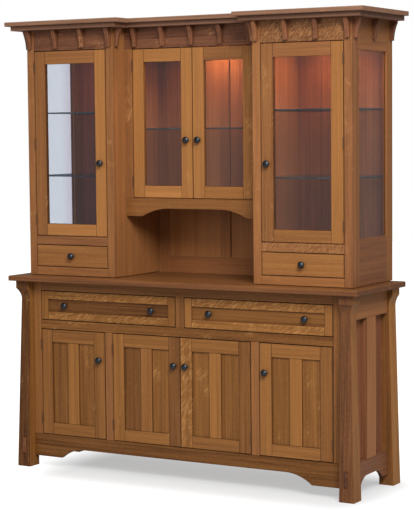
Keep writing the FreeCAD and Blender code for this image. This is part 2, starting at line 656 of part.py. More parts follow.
def make_centre_back():
    """Framed back of the centre: rails, stiles and a muntin, with two panels in grooves."""
    panel0 = BACK_PANEL_INSET
    panel1 = panel0 + BACK_PANEL_THICK
    thick = BACK_FRAME_THICK
    low = COUNTER_TOP + BACK_BOTTOM_RAIL
    high = HUTCH_TOP - BACK_TOP_RAIL
    inner = INNER_X - BACK_STILE
    half = BACK_MUNTIN / 2
    stub = GROOVE_DEPTH - FIT
    both("hutch_back_frame", grooved(board(inner, INNER_X, 0, thick, COUNTER_TOP, HUTCH_TOP),
                                     inner, inner + GROOVE_DEPTH, panel0, panel1, COUNTER_TOP, HUTCH_TOP))
    for z0, z1, edge in ((COUNTER_TOP, low, low - GROOVE_DEPTH), (high, HUTCH_TOP, high)):
        rail = board(-inner, inner, 0, thick, z0, z1)
        rail = rail.fuse(board(-inner - stub, inner + stub, panel0, panel1, z0, z1))
        add("hutch_back_frame", grooved(rail, -inner - stub, inner + stub, panel0, panel1,
                                        edge, edge + GROOVE_DEPTH))
    post = board(-half, half, 0, thick, low, high)
    post = post.fuse(board(-half, half, panel0, panel1, low - stub, high + stub))
    for edge in (-half, half - GROOVE_DEPTH):
        post = grooved(post, edge, edge + GROOVE_DEPTH, panel0, panel1, low - stub, high + stub)
    add("hutch_back_frame", post)
    both("hutch_back_panels", board(half - stub, inner + stub, panel0, panel1, low - stub, high + stub))


def make_cornice():
    """Cornice of two stepped layers, each in three boards that follow the breakfront."""
    for name, z0, z1, step in (("cornice_bed", HUTCH_TOP, BED_TOP, 0),
                               ("cornice_cap", BED_TOP, CAP_TOP, CAP_STEP)):
        end = HUTCH_X + BED_END_OVERHANG + step
        inner = INNER_X - BED_INNER_OVERHANG - step
        tower_front = TOWER_DEPTH + BED_FRONT_OVERHANG + step
        centre_front = CENTRE_DEPTH + BED_FRONT_OVERHANG + step
        tower_y = at(0, tower_front, 0).y
        centre_y = at(0, centre_front, 0).y

        def tower_shows(point):
            return point.y < tower_y + FIT and inner + FIT < point.x < end - FIT

        def centre_shows(point):
            return point.y < centre_y + FIT and abs(point.x) < inner - FIT

        both(name, eased(board(inner, end, 0, tower_front, z0, z1), CORNICE_EASE, tower_shows))
        add(name, eased(board(-inner, inner, 0, centre_front, z0, z1), CORNICE_EASE, centre_shows))


def corbel(place):
    """A corbel, hollowed from its lip down to its foot. place gives a point from out, along and height."""
    low = HUTCH_TOP - CORBEL_HEIGHT
    lip = HUTCH_TOP - CORBEL_LIP
    foot = low + CORBEL_FOOT
    half = CORBEL_WIDTH / 2
    bend = place((CORBEL_TOP + CORBEL_BOTTOM) / 2 - CORBEL_HOLLOW, -half, (lip + foot) / 2)
    edges = path([place(0, -half, HUTCH_TOP), place(CORBEL_TOP, -half, HUTCH_TOP),
                  place(CORBEL_TOP, -half, lip)])
    edges += [Part.Arc(place(CORBEL_TOP, -half, lip), bend, place(CORBEL_BOTTOM, -half, foot)).toShape()]
    edges += path([place(CORBEL_BOTTOM, -half, foot), place(CORBEL_BOTTOM, -half, low),
                   place(0, -half, low), place(0, -half, HUTCH_TOP)])
    return prism(edges, place(0, half, 0) - place(0, -half, 0))


def make_corbels():
    """Corbels along the friezes, the outer sides and the towers' inner front corners."""
    first = INNER_X + CORBEL_EDGE
    pitch = (TOWER_WIDTH - 2 * CORBEL_EDGE) / (CORBELS_PER_TOWER - 1)
    for index in range(CORBELS_PER_TOWER):
        x = first + index * pitch
        both("corbels", corbel(lambda out, along, z: at(x + along, TOWER_DEPTH + out, z)))
    first = CENTRE_CORBEL_EDGE - INNER_X
    pitch = -2 * first / (CORBELS_IN_CENTRE - 1)
    for index in range(CORBELS_IN_CENTRE):
        x = first + index * pitch
        add("corbels", corbel(lambda out, along, z: at(x + along, CENTRE_DEPTH + out, z)))
    pitch = (TOWER_DEPTH - 2 * CORBEL_EDGE) / (CORBELS_PER_SIDE - 1)
    for index in range(CORBELS_PER_SIDE):
        depth = CORBEL_EDGE + index * pitch
        both("corbels", corbel(lambda out, along, z: at(HUTCH_X + out, depth + along, z)))
    depth = TOWER_DEPTH - CORBEL_EDGE
    both("corbels", corbel(lambda out, along, z: at(INNER_X - out, depth + along, z)))


def make_lights():
    """A round light under each hutch ceiling."""
    tower_x = (TOWER_ROOM_X0 + TOWER_ROOM_X1) / 2
    low = CEILING_LOW - LIGHT_HEIGHT
    for x, depth in ((-tower_x, TOWER_FRAME_BACK / 2), (0, CENTRE_FRAME_BACK / 2),
                     (tower_x, TOWER_FRAME_BACK / 2)):
        add("light_housings", Part.makeCylinder(LIGHT_RADIUS, LIGHT_HEIGHT, at(x, depth, low)))
        add("light_lenses", Part.makeCylinder(LENS_RADIUS, LENS_THICK, at(x, depth, low - LENS_THICK)))


# Doors and drawers

def hinge_heights(low, high, count):
    """Heights of the hinges on a door, evenly spread between its ends."""
    first = low + HINGE_FROM_END
    return [first + index * (high - low - 2 * HINGE_FROM_END) / (count - 1) for index in range(count)]


def make_door(name, open0, open1, low, high, face, muntin, hinge_side, knob_z, hinges):
    """A door in its opening, hung on one side, with a knob and a catch at the other."""
    x0 = open0 + DOOR_GAP
    x1 = open1 - DOOR_GAP
    z0 = low + DOOR_GAP
    z1 = high - DOOR_GAP
    recess, thick = (PANEL_RECESS, PANEL_THICK) if muntin else (GLASS_RECESS, GLASS_THICK)
    frame, filling = frame_and_panel(x0, x1, z0, z1, face, DOOR_STILE, DOOR_TOP_RAIL, DOOR_BOTTOM_RAIL,
                                     muntin, recess, thick)
    add(name, *frame)
    add(name if muntin else name + "_glass", *filling)
    hung, free, way = (open0, x1, 1) if hinge_side < 0 else (open1, x0, -1)
    add(name + "_hardware", knob(free - way * KNOB_FROM_EDGE, knob_z, face))
    hang(name, hung, way, face, hinge_heights(z0, z1, hinges))
    catch(free, -way, face - FRAME_THICK, high)


def make_doors():
    """Four panelled base doors, two tower doors and two centre doors."""
    base_knob = BASE_DOOR_TOP - BASE_KNOB_DROP
    tower_knob = TOWER_DOOR_LOW + TOWER_KNOB_LIFT
    centre_knob = CENTRE_DOOR_LOW + CENTRE_KNOB_LIFT
    half_gap = DOOR_GAP / 2
    for side, way in (("left", -1), ("right", 1)):
        spans = {
            "base_outer_door_": (MULLION_X, OPENING_X, APRON_TOP, BASE_DOOR_TOP, BASE_FACE_DEPTH,
                                 DOOR_MUNTIN, way, base_knob, DOOR_HINGE_COUNT),
            "base_inner_door_": (-half_gap, BAY_X, APRON_TOP, BASE_DOOR_TOP, BASE_FACE_DEPTH,
                                 DOOR_MUNTIN, way, base_knob, DOOR_HINGE_COUNT),
            "tower_door_": (TOWER_OPEN_X0, TOWER_OPEN_X1, TOWER_DOOR_LOW, TOWER_DOOR_HIGH, TOWER_DEPTH,
                            0, way, tower_knob, TALL_DOOR_HINGE_COUNT),
            "centre_door_": (-half_gap, CENTRE_OPEN_X, CENTRE_DOOR_LOW, TOWER_DOOR_HIGH, CENTRE_DEPTH,
                             0, way, centre_knob, DOOR_HINGE_COUNT),
        }
        for kind, (near, far, *rest) in spans.items():
            open0, open1 = sorted((way * near, way * far))
            make_door(kind + side, open0, open1, *rest)


def drawer_box(x0, x1, low, height, front, length):
    """An open box of two sides, front, back and a bottom set up between them."""
    rear = front - length
    inner0 = x0 + BOX_SIDE_THICK
    inner1 = x1 - BOX_SIDE_THICK
    high = low + height
    floor = low + BOX_BOTTOM_LIFT
    return [board(x0, inner0, rear, front, low, high), board(inner1, x1, rear, front, low, high),
            board(inner0, inner1, front - BOX_SIDE_THICK, front, low, high),
            board(inner0, inner1, rear, rear + BOX_SIDE_THICK, low, high),
            board(inner0, inner1, rear + BOX_SIDE_THICK, front - BOX_SIDE_THICK,
                  floor, floor + BOX_BOTTOM_THICK)]


def make_drawers():
    """Two wide base drawers with framed fronts, and two small flat tower drawers."""
    for side, way in (("left", -1), ("right", 1)):
        near = DRAWER_MULLION / 2
        open0, open1 = sorted((way * near, way * OPENING_X))
        name = "base_drawer_" + side
        z0 = DRAWER_LOW + DOOR_GAP
        z1 = DRAWER_HIGH - DOOR_GAP
        frame, panel = frame_and_panel(open0 + DOOR_GAP, open1 - DOOR_GAP, z0, z1, BASE_FACE_DEPTH,
                                       DRAWER_BORDER, DRAWER_BORDER, DRAWER_BORDER, 0,
                                       PANEL_RECESS, PANEL_THICK)
        add(name + "_front", *frame, *panel)
        add(name + "_box", *drawer_box(open0 + BOX_SIDE_GAP, open1 - BOX_SIDE_GAP, DRAWER_LOW + BOX_LIFT,
                                       BASE_BOX_HEIGHT, BASE_FRAME_BACK, BASE_BOX_LENGTH))
        for x in (near + DRAWER_KNOB_INNER, OPENING_X - DRAWER_KNOB_OUTER):
            add(name + "_knobs", knob(way * x, (z0 + z1) / 2, BASE_FACE_DEPTH - PANEL_RECESS))
        open0, open1 = sorted((way * TOWER_OPEN_X0, way * TOWER_OPEN_X1))
        name = "tower_drawer_" + side
        z0 = TOWER_DRAWER_LOW + DOOR_GAP
        z1 = TOWER_DRAWER_HIGH - DOOR_GAP
        add(name + "_front", board(open0 + DOOR_GAP, open1 - DOOR_GAP, TOWER_FRAME_BACK, TOWER_DEPTH,
                                   z0, z1))
        add(name + "_box", *drawer_box(open0 + BOX_SIDE_GAP, open1 - BOX_SIDE_GAP,
                                       TOWER_DRAWER_LOW + BOX_LIFT, TOWER_BOX_HEIGHT,
                                       TOWER_FRAME_BACK, TOWER_BOX_LENGTH))
        add(name + "_knob", knob((open0 + open1) / 2, (z0 + z1) / 2, TOWER_DEPTH))


make_countertop()
make_legs()
make_base_frame()
make_base_sides()
make_base_inside()
make_towers()
make_centre()
make_cornice()
make_corbels()
make_lights()
make_doors()
make_drawers()

os.makedirs("parts", exist_ok=True)
for node, solids in nodes.items():
    whole = solids[0] if len(solids) == 1 else Part.makeCompound(solids)
    whole.exportStep("parts/" + node + ".step")
    print(node, len(solids), "solids,", round(sum(solid.Volume for solid in solids) / 1e6, 3), "litres")
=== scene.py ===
"""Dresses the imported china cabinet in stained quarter-sawn oak, glass, dark bronze and warm light."""

from __future__ import annotations

import json
import logging
import math
import random
from contextlib import contextmanager
from dataclasses import dataclass, field
from enum import Enum
from functools import cache
from typing import Callable, Iterator, Sequence

import bpy
import numpy as np
from mathutils import Matrix, Vector

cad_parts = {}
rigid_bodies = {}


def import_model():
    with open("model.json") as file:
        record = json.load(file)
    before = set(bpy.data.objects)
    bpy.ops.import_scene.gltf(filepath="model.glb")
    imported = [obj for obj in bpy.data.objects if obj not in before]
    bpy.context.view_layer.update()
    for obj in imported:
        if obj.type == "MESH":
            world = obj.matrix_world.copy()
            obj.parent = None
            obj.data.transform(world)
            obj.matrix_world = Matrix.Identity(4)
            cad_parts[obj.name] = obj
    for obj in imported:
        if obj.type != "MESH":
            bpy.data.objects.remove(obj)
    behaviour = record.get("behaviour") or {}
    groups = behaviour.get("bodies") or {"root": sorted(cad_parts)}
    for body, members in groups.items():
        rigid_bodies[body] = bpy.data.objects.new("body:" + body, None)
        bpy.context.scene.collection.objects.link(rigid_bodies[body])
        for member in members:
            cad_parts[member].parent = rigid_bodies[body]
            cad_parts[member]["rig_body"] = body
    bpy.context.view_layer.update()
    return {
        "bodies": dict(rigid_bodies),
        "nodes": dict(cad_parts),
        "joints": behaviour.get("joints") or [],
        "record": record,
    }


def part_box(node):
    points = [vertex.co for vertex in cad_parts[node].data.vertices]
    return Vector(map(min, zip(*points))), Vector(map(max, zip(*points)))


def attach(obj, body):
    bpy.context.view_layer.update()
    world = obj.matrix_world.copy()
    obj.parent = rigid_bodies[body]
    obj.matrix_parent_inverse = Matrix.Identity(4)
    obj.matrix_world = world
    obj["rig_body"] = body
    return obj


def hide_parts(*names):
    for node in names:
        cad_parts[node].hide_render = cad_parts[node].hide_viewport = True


log = logging.getLogger("china_cabinet")

Piece = bpy.types.Object
Socket = bpy.types.NodeSocket
Rgb = tuple[float, float, float]
Triple = tuple[float, float, float]
Profile = tuple[tuple[float, float], ...]
PICTURE_HEIGHT = 510
SENSOR = 36.0
MILLIMETRES = 1000  # in a metre
MICROMETRES = 1e6  # in a metre
CORNER_GAP = 2e-6
NEAR = 1e-5
PANE_ARRIS = 0.0004
LEAF_ARRIS = 0.0002
FLAT_ANGLE = math.radians(0.8)
SHARP_ANGLE = math.radians(40.0)
ROUND_ANGLE = math.radians(50.0)
LATHE_ANGLE = math.radians(38.0)


class Slot(str, Enum):
    """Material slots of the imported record."""

    STAINED_OAK = "stained_oak"
    INSIDE_OAK = "inside_oak"
    DARK_BRONZE = "dark_bronze"
    CLEAR_GLASS = "clear_glass"
    SHELF_GLASS = "shelf_glass"
    LIGHT_LENS = "light_lens"
    STEEL = "steel"
    CATCH_PLASTIC = "catch_plastic"


class Facing(Enum):
    """The ways in which a face can look, as directions."""

    RIGHT = (1.0, 0.0, 0.0)
    FRONT = (0.0, -1.0, 0.0)
    UP = (0.0, 0.0, 1.0)
    DOWN = (0.0, 0.0, -1.0)


class Side(Enum):
    """The two sides of the cabinet, by the sign of X."""

    LEFT = -1
    RIGHT = 1

    @property
    def word(self) -> str:
        """The side's name as the nodes spell it."""
        return self.name.lower()


def linear(*seen: int) -> Rgb:
    """Turns a colour of 0 to 255 as seen on a screen into linear light."""
    shares = [value / 255 for value in seen]
    return tuple(share / 12.92 if share <= 0.04045 else ((share + 0.055) / 1.055) ** 2.4 for share in shares)


class NodeBench:
    """A material's or the world's node tree, with short calls for the nodes that they share."""

    def __init__(self, owner: bpy.types.Material | bpy.types.World, output: str) -> None:
        """Clears the tree of a material or the world, down to an output."""
        owner.use_nodes = True
        self.tree = owner.node_tree
        self.tree.nodes.clear()
        self.output = self.add(output)

    def add(self, kind: str, *values: object, **settings: object) -> bpy.types.Node:
        """Adds a node.

        Args:
            kind: Blender's name of the node type, after the words shader node.
            *values: Sockets or values for its first inputs.
            **settings: Properties to set on it.

        Returns:
            The node.
        """
        node = self.tree.nodes.new("ShaderNode" + kind)
        for key, value in settings.items():
            setattr(node, key, value)
        for socket, value in zip(node.inputs, values):
            self.feed(socket, value)
        return node

    def named(self, kind: str, inputs: dict[str, object], **settings: object) -> Socket:
        """Adds a node, feeds its inputs by name and gives its first output."""
        node = self.add(kind, **settings)
        for name, value in inputs.items():
            self.feed(node.inputs[name], value)
        return node.outputs[0]

    def feed(self, socket: Socket, value: object) -> None:
        """Links an input to another socket, or sets its number, colour or vector."""
        if isinstance(value, Socket):
            self.tree.links.new(value, socket)
        elif socket.type == "RGBA":
            socket.default_value = (*value, 1.0)
        else:
            socket.default_value = value

    def attribute(self, name: str, output: str = "Vector") -> Socket:
        """Reads an attribute of the piece's own mesh."""
        return self.add("Attribute", attribute_name=name).outputs[output]

    def place(self) -> Socket:
        """The place on the object, in metres."""
        return self.add("TexCoord").outputs["Object"]

    def parts(self, vector: Socket) -> tuple[Socket, ...]:
        """Splits a vector into its three numbers."""
        return tuple(self.add("SeparateXYZ", vector).outputs)

    def math(self, operation: str, first: object, second: object = 0.0, clamp: bool = False) -> Socket:
        """Works out a number from two others, kept between 0 and 1 where clamped."""
        return self.add("Math", first, second, operation=operation, use_clamp=clamp).outputs[0]

    def weigh(self, start: object, *shares: tuple[Socket, float, float]) -> Socket:
        """Adds centred values by weight and keeps the sum between 0 and 1.

        Args:
            start: The socket or number to start from.
            *shares: A value, its middle and its weight, each.

        Returns:
            The sum.
        """
        total = start
        for value, middle, weight in shares:
            centred = self.math("MULTIPLY", self.math("SUBTRACT", value, middle), weight)
            total = self.math("ADD", total, centred)
        return self.math("ADD", total, 0.0, clamp=True)

    def turned(self, vector: Socket, degrees: float) -> Socket:
        """Turns a vector about its third axis."""
        return self.named("Mapping", {"Vector": vector, "Rotation": (0.0, 0.0, math.radians(degrees))})

    def noise(
        self, place: Socket, scale: Triple, detail: float = 2.0, roughness: float = 0.5, pull: float = 0.0
    ) -> Socket:
        """Noise over a place.

        Args:
            place: Where it is read.
            scale: How fine it is along each axis.
            detail: Octaves.
            roughness: Weight of the finer octaves.
            pull: How far it is pulled about.

        Returns:
            A value from 0 to 1.
        """
        scaled = self.add("VectorMath", place, scale, operation="MULTIPLY").outputs[0]
        return self.named("TexNoise", {
            "Vector": scaled, "Scale": 1.0, "Detail": detail, "Roughness": roughness, "Distortion": pull,
        })

    def window(self, value: Socket, low: float, high: float) -> Socket:
        """A soft step from 0 at low to 1 at high."""
        limits = {"Value": value, "From Min": low, "From Max": high}
        return self.named("MapRange", limits, interpolation_type="SMOOTHSTEP")

    def mix(self, share: object, first: object, second: object) -> Socket:
        """Mixes two colours, by a share that is 0 for the first and 1 for the second."""
        node = self.add("Mix", share, data_type="RGBA")
        first_colour, second_colour = node.inputs[6:8]
        self.feed(first_colour, first)
        self.feed(second_colour, second)
        return node.outputs[2]

    def bump(self, height: Socket, strength: float, distance: float) -> Socket:
        """A surface relief from a height."""
        return self.named("Bump", {"Strength": strength, "Distance": distance, "Height": height})

    def show(self, shader: Socket) -> None:
        """Links a shader to the output."""
        self.feed(self.output.inputs["Surface"], shader)

    def principled(self, **inputs: object) -> None:
        """Shows the main shader.

        Args:
            **inputs: Values or sockets, with underscores for the spaces of the input names.
        """
        spaced = {name.replace("_", " "): value for name, value in inputs.items()}
        self.show(self.named("BsdfPrincipled", spaced))


@dataclass(frozen=True)
class Finish:
    """A surface that pieces can have."""

    name: str

    @cache
    def material(self) -> bpy.types.Material:
        """The finish's material, built at the first call."""
        material = bpy.data.materials.new(self.name)
        self.lay(NodeBench(material, "OutputMaterial"))
        return material

    def lay(self, bench: NodeBench) -> None:
        """Lays the finish's nodes on a bench."""
        raise NotImplementedError


@dataclass(frozen=True)
class OakFinish(Finish):
    """Quarter-sawn oak under a stain and satin lacquer: straight streaks, pores and ray flecks."""

    gold_dark: Rgb
    gold_light: Rgb
    red_dark: Rgb
    red_light: Rgb
    roughness: float = 0.42
    coat: float = 0.04
    shine: float = 0.18
    fleck_strength: float = 0.3
    fleck_cover: float = 0.28
    fleck_pale: Rgb = linear(194, 147, 94)
    fleck_slant: float = -34.0
    wear: float = 0.12
    # Colour of gathered stain and painted gap shade, on edges marked below 0.
    seam: Rgb = linear(34, 17, 8)

    def lay(self, bench: NodeBench) -> None:
        """Lays the nodes, which read the boards' grain, tones and edge attributes."""
        grain = bench.attribute("grain")
        tone, hue, figure = bench.parts(bench.attribute("tones"))
        edge = bench.attribute("edge", "Fac")
        streak = bench.noise(grain, (2.0, 190.0, 190.0), 5.0, 0.62, 0.2)
        band = bench.noise(grain, (1.2, 55.0, 55.0), 3.0, 0.55, 0.3)
        pores = bench.window(bench.noise(grain, (30.0, 1500.0, 1500.0), 1.0), 0.58, 0.72)
        flecks = self.flecks(bench, grain, figure)
        shade = bench.weigh(
            tone, (streak, 0.5, 0.62), (band, 0.5, 0.42), (flecks, 0.0, self.fleck_strength),
            (pores, 0.0, -0.08),
        )
        shade = bench.weigh(shade, (edge, 0.0, self.wear))
        gold = bench.mix(shade, self.gold_dark, self.gold_light)
        red = bench.mix(shade, self.red_dark, self.red_light)
        # Edges marked below 0 take the seam colour: gathered stain, and painted shade in the gaps between
        # boards.
        stained = bench.math("MULTIPLY", edge, -1.0, clamp=True)
        cover = bench.math("MULTIPLY", flecks, self.fleck_cover, clamp=True)
        flecked = bench.mix(cover, bench.mix(hue, gold, red), self.fleck_pale)
        rough = bench.weigh(self.roughness, (streak, 0.5, 0.2), (pores, 0.0, 0.16), (flecks, 0.0, -0.08))
        height = bench.weigh(0.6, (streak, 0.5, 0.35), (pores, 0.0, -0.5), (flecks, 0.0, 0.1))
        bench.principled(
            Base_Color=bench.mix(stained, flecked, self.seam), Roughness=rough,
            Normal=bench.bump(height, 0.25, 0.0005), Coat_Weight=self.coat, Coat_Roughness=0.22,
            Specular_IOR_Level=self.shine,
        )

    def flecks(self, bench: NodeBench, grain: Socket, figure: Socket) -> Socket:
        """Ray flecks: ribbons that cross the grain at a slant, in patches or all over, and flakes between.

        Args:
            bench: The material's bench.
            grain: Place along, across and through the board.
            figure: How full of flecks the board is.

        Returns:
            A value from 0 to 1.
        """
        slanted = bench.turned(grain, self.fleck_slant)
        ray = bench.window(bench.noise(slanted, (30.0, 210.0, 90.0), 2.0, 0.6, 0.7), 0.49, 0.6)
        flake = bench.window(bench.noise(slanted, (70.0, 420.0, 200.0), 2.0, 0.6, 0.6), 0.5, 0.64)
        cloud = bench.noise(grain, (7.0, 16.0, 16.0))
        bar = bench.weigh(0.78, (figure, 0.0, -0.58))
        patch = bench.math("MULTIPLY", bench.math("SUBTRACT", cloud, bar), 7.0, clamp=True)
        return bench.weigh(bench.math("MULTIPLY", ray, patch), (flake, 0.0, 0.2))


@dataclass(frozen=True)
class BronzeFinish(Finish):
    """Dark rubbed bronze: near black, with a brown sheen where hands have worn it."""

    dark: Rgb
    worn: Rgb
    roughness: float
    metallic: float

    def lay(self, bench: NodeBench) -> None:
        """Lays the nodes."""
        place = bench.place()
        cloud = bench.noise(place, (240.0, 240.0, 240.0), 3.0, 0.6)
        grit = bench.noise(place, (2600.0, 2600.0, 2600.0), 1.0)
        edge = bench.attribute("edge", "Fac")
        wear = bench.weigh(0.0, (bench.window(cloud, 0.45, 0.7), 0.0, 0.35), (edge, 0.0, 0.5))
        rough = bench.weigh(self.roughness, (cloud, 0.5, 0.25), (grit, 0.5, 0.15))
        bench.principled(
            Base_Color=bench.mix(wear, self.dark, self.worn), Roughness=rough, Metallic=self.metallic,
            Normal=bench.bump(grit, 0.06, 0.0002),
        )


@dataclass(frozen=True)
class GlassFinish(Finish):
    """Flat glass: a clear tinted pane that mirrors more at a slant.

    Where it has a rear shade tint, the pane is painted darker towards the back: the tint changes to that
    between two depths along Y.
    """

    tint: Rgb
    mirror: float = 0.04
    glint: Rgb = (0.8, 0.9, 1.0)
    smear: float = 0.02
    rear_tint: Rgb | None = None
    rear: tuple[float, float] = (0.0, 0.0)

    def lay(self, bench: NodeBench) -> None:
        """Lays the nodes."""
        slant = bench.math("POWER", bench.add("LayerWeight").outputs["Facing"], 5.0)
        share = bench.weigh(self.mirror, (slant, 0.0, 1.0 - self.mirror))
        film = bench.noise(bench.place(), (6.0, 6.0, 3.0), 3.0, 0.6)
        tint = self.tint
        # Painted shade: the tint deepens towards the back of the pane.
        if self.rear_tint:
            depth = bench.window(bench.parts(bench.place())[1], *self.rear)
            tint = bench.mix(depth, self.tint, self.rear_tint)
        clear = bench.add("BsdfTransparent", tint).outputs[0]
        rough = bench.weigh(self.smear, (film, 0.5, self.smear))
        gloss = bench.named("BsdfGlossy", {"Color": self.glint, "Roughness": rough})
        bench.show(bench.add("MixShader", share, clear, gloss).outputs[0])


@dataclass(frozen=True)
class GlassEdgeFinish(Finish):
    """The polished edge of thick glass: deep green, mottled from nearly black to a paler green."""

    deep: Rgb
    bright: Rgb

    def lay(self, bench: NodeBench) -> None:
        """Lays the nodes."""
        wave = bench.noise(bench.place(), (9.0, 9.0, 160.0))
        colour = bench.mix(bench.window(wave, 0.3, 0.75), self.deep, self.bright)
        bench.principled(Base_Color=colour, Roughness=bench.weigh(0.08, (wave, 0.5, 0.06)))


@dataclass(frozen=True)
class LensFinish(Finish):
    """Frosted glass of a small light, glowing from its middle."""

    glow: Rgb
    strength: float

    def lay(self, bench: NodeBench) -> None:
        """Lays the nodes."""
        frost = bench.noise(bench.place(), (900.0, 900.0, 900.0))
        middle = bench.attribute("edge", "Fac")
        strength = bench.math("MULTIPLY", bench.weigh(0.35, (middle, 0.0, 0.65)), self.strength)
        bench.principled(
            Base_Color=(0.8, 0.78, 0.72), Roughness=bench.weigh(0.45, (frost, 0.5, 0.3)),
            Emission_Color=self.glow, Emission_Strength=strength, Normal=bench.bump(frost, 0.2, 0.0002),
        )


@dataclass(frozen=True)
class PlainFinish(Finish):
    """Small parts of steel or moulded plastic, with a fine surface of their own."""

    colour: Rgb
    other: Rgb
    roughness: float
    metallic: float
    grain: Triple

    def lay(self, bench: NodeBench) -> None:
        """Lays the nodes."""
        fine = bench.noise(bench.place(), self.grain, 3.0, 0.6)
        bench.principled(
            Base_Color=bench.mix(fine, self.colour, self.other), Metallic=self.metallic,
            Roughness=bench.weigh(self.roughness, (fine, 0.5, 0.2)), Normal=bench.bump(fine, 0.1, 0.0002),
        )


OUTSIDE_OAK = OakFinish(
    "stained_oak", linear(71, 36, 4), linear(190, 129, 66), linear(67, 39, 31), linear(184, 119, 80)
)
CORNICE_OAK = OakFinish(
    "cornice_oak", linear(66, 43, 32), linear(186, 141, 108), linear(62, 38, 32), linear(176, 125, 99)
)
BACK_OAK = OakFinish(
    "hutch_back_oak", linear(72, 41, 16), linear(186, 129, 74), linear(58, 24, 19), linear(180, 94, 70)
)
INNER_OAK = OakFinish(
    "inside_oak", linear(92, 56, 30), linear(206, 156, 100), linear(84, 44, 26), linear(196, 130, 86),
    roughness=0.5, coat=0.02,
)
BRONZE = BronzeFinish("dark_bronze", linear(74, 77, 84), linear(108, 104, 102), 0.42, 1.0)
HINGE_BROWN = PlainFinish(
    "brown_hinge", linear(74, 44, 20), linear(92, 56, 28), 0.5, 0.0, (900.0, 900.0, 900.0)
)
CLEAR_GLASS = GlassFinish("clear_glass", (0.95, 0.94, 0.96), mirror=0.09)
# Painted shade: the side panes darken towards the back of the towers.
SIDE_GLASS = GlassFinish(
    "side_glass", (0.91, 0.95, 0.98), mirror=0.05, rear_tint=(0.84, 0.82, 0.88), rear=(0.08, 0.22)
)
SHELF_GLASS = GlassFinish("shelf_glass", (0.90, 0.93, 0.92))
SHELF_EDGE = GlassEdgeFinish("shelf_edge", linear(30, 44, 46), linear(70, 90, 88))
LENS = LensFinish("light_lens", linear(255, 214, 150), 0.8)
STEEL = PlainFinish("steel", linear(150, 150, 150), linear(196, 196, 194), 0.3, 1.0, (60.0, 900.0, 900.0))
PLASTIC = PlainFinish(
    "catch_plastic", linear(84, 62, 44), linear(96, 72, 52), 0.5, 0.0, (1400.0, 1400.0, 1400.0)
)


def choose(piece: Piece) -> None:
    """Makes a piece the only selected and the active one."""
    bpy.ops.object.select_all(action="DESELECT")
    piece.select_set(True)
    bpy.context.view_layer.objects.active = piece


@contextmanager
def editing(piece: Piece) -> Iterator[None]:
    """Opens a piece in edit mode with vertices selectable, and closes it again."""
    choose(piece)
    bpy.ops.object.mode_set(mode="EDIT")
    bpy.context.tool_settings.mesh_select_mode = (True, False, False)
    try:
        yield
    finally:
        bpy.ops.object.mode_set(mode="OBJECT")


def pick(piece: Piece, wanted: Callable[[bpy.types.MeshVertex], bool]) -> None:
    """Selects vertices alone, for the next edit.

    Args:
        piece: The piece, in object mode.
        wanted: Says whether a vertex is chosen.
    """
    flags = [wanted(vertex) for vertex in piece.data.vertices]
    piece.data.polygons.foreach_set("select", [False] * len(piece.data.polygons))
    piece.data.edges.foreach_set("select", [False] * len(piece.data.edges))
    piece.data.vertices.foreach_set("select", flags)


def apply_modifier(piece: Piece, kind: str, **settings: object) -> None:
    """Adds a modifier and applies it.

    Args:
        piece: The piece.
        kind: Blender's name of the modifier.
        **settings: Properties to set on it.
    """
    choose(piece)
    modifier = piece.modifiers.new(kind.lower(), kind)
    for key, value in settings.items():
        setattr(modifier, key, value)
    bpy.ops.object.modifier_apply(modifier=modifier.name)


def closed_runs(mesh: bpy.types.Mesh) -> list[range]:
    """Finds the runs of faces that close into one solid each.

    Args:
        mesh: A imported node's mesh of loose triangles, solid after solid.

    Returns:
        One range of face numbers per solid.
    """
    runs: list[range] = []
    waiting: set[tuple] = set()
    start = 0
    for face in mesh.polygons:
        corners = [tuple(round(value * MICROMETRES) for value in mesh.vertices[v].co) for v in face.vertices]
        for pair in zip(corners, corners[1:] + corners[:1]):
            if pair[::-1] in waiting:
                waiting.remove(pair[::-1])
            else:
                waiting.add(pair)
        if not waiting:
            runs.append(range(start, face.index + 1))
            start = face.index + 1
    if start < len(mesh.polygons):
        runs.append(range(start, len(mesh.polygons)))
    return runs


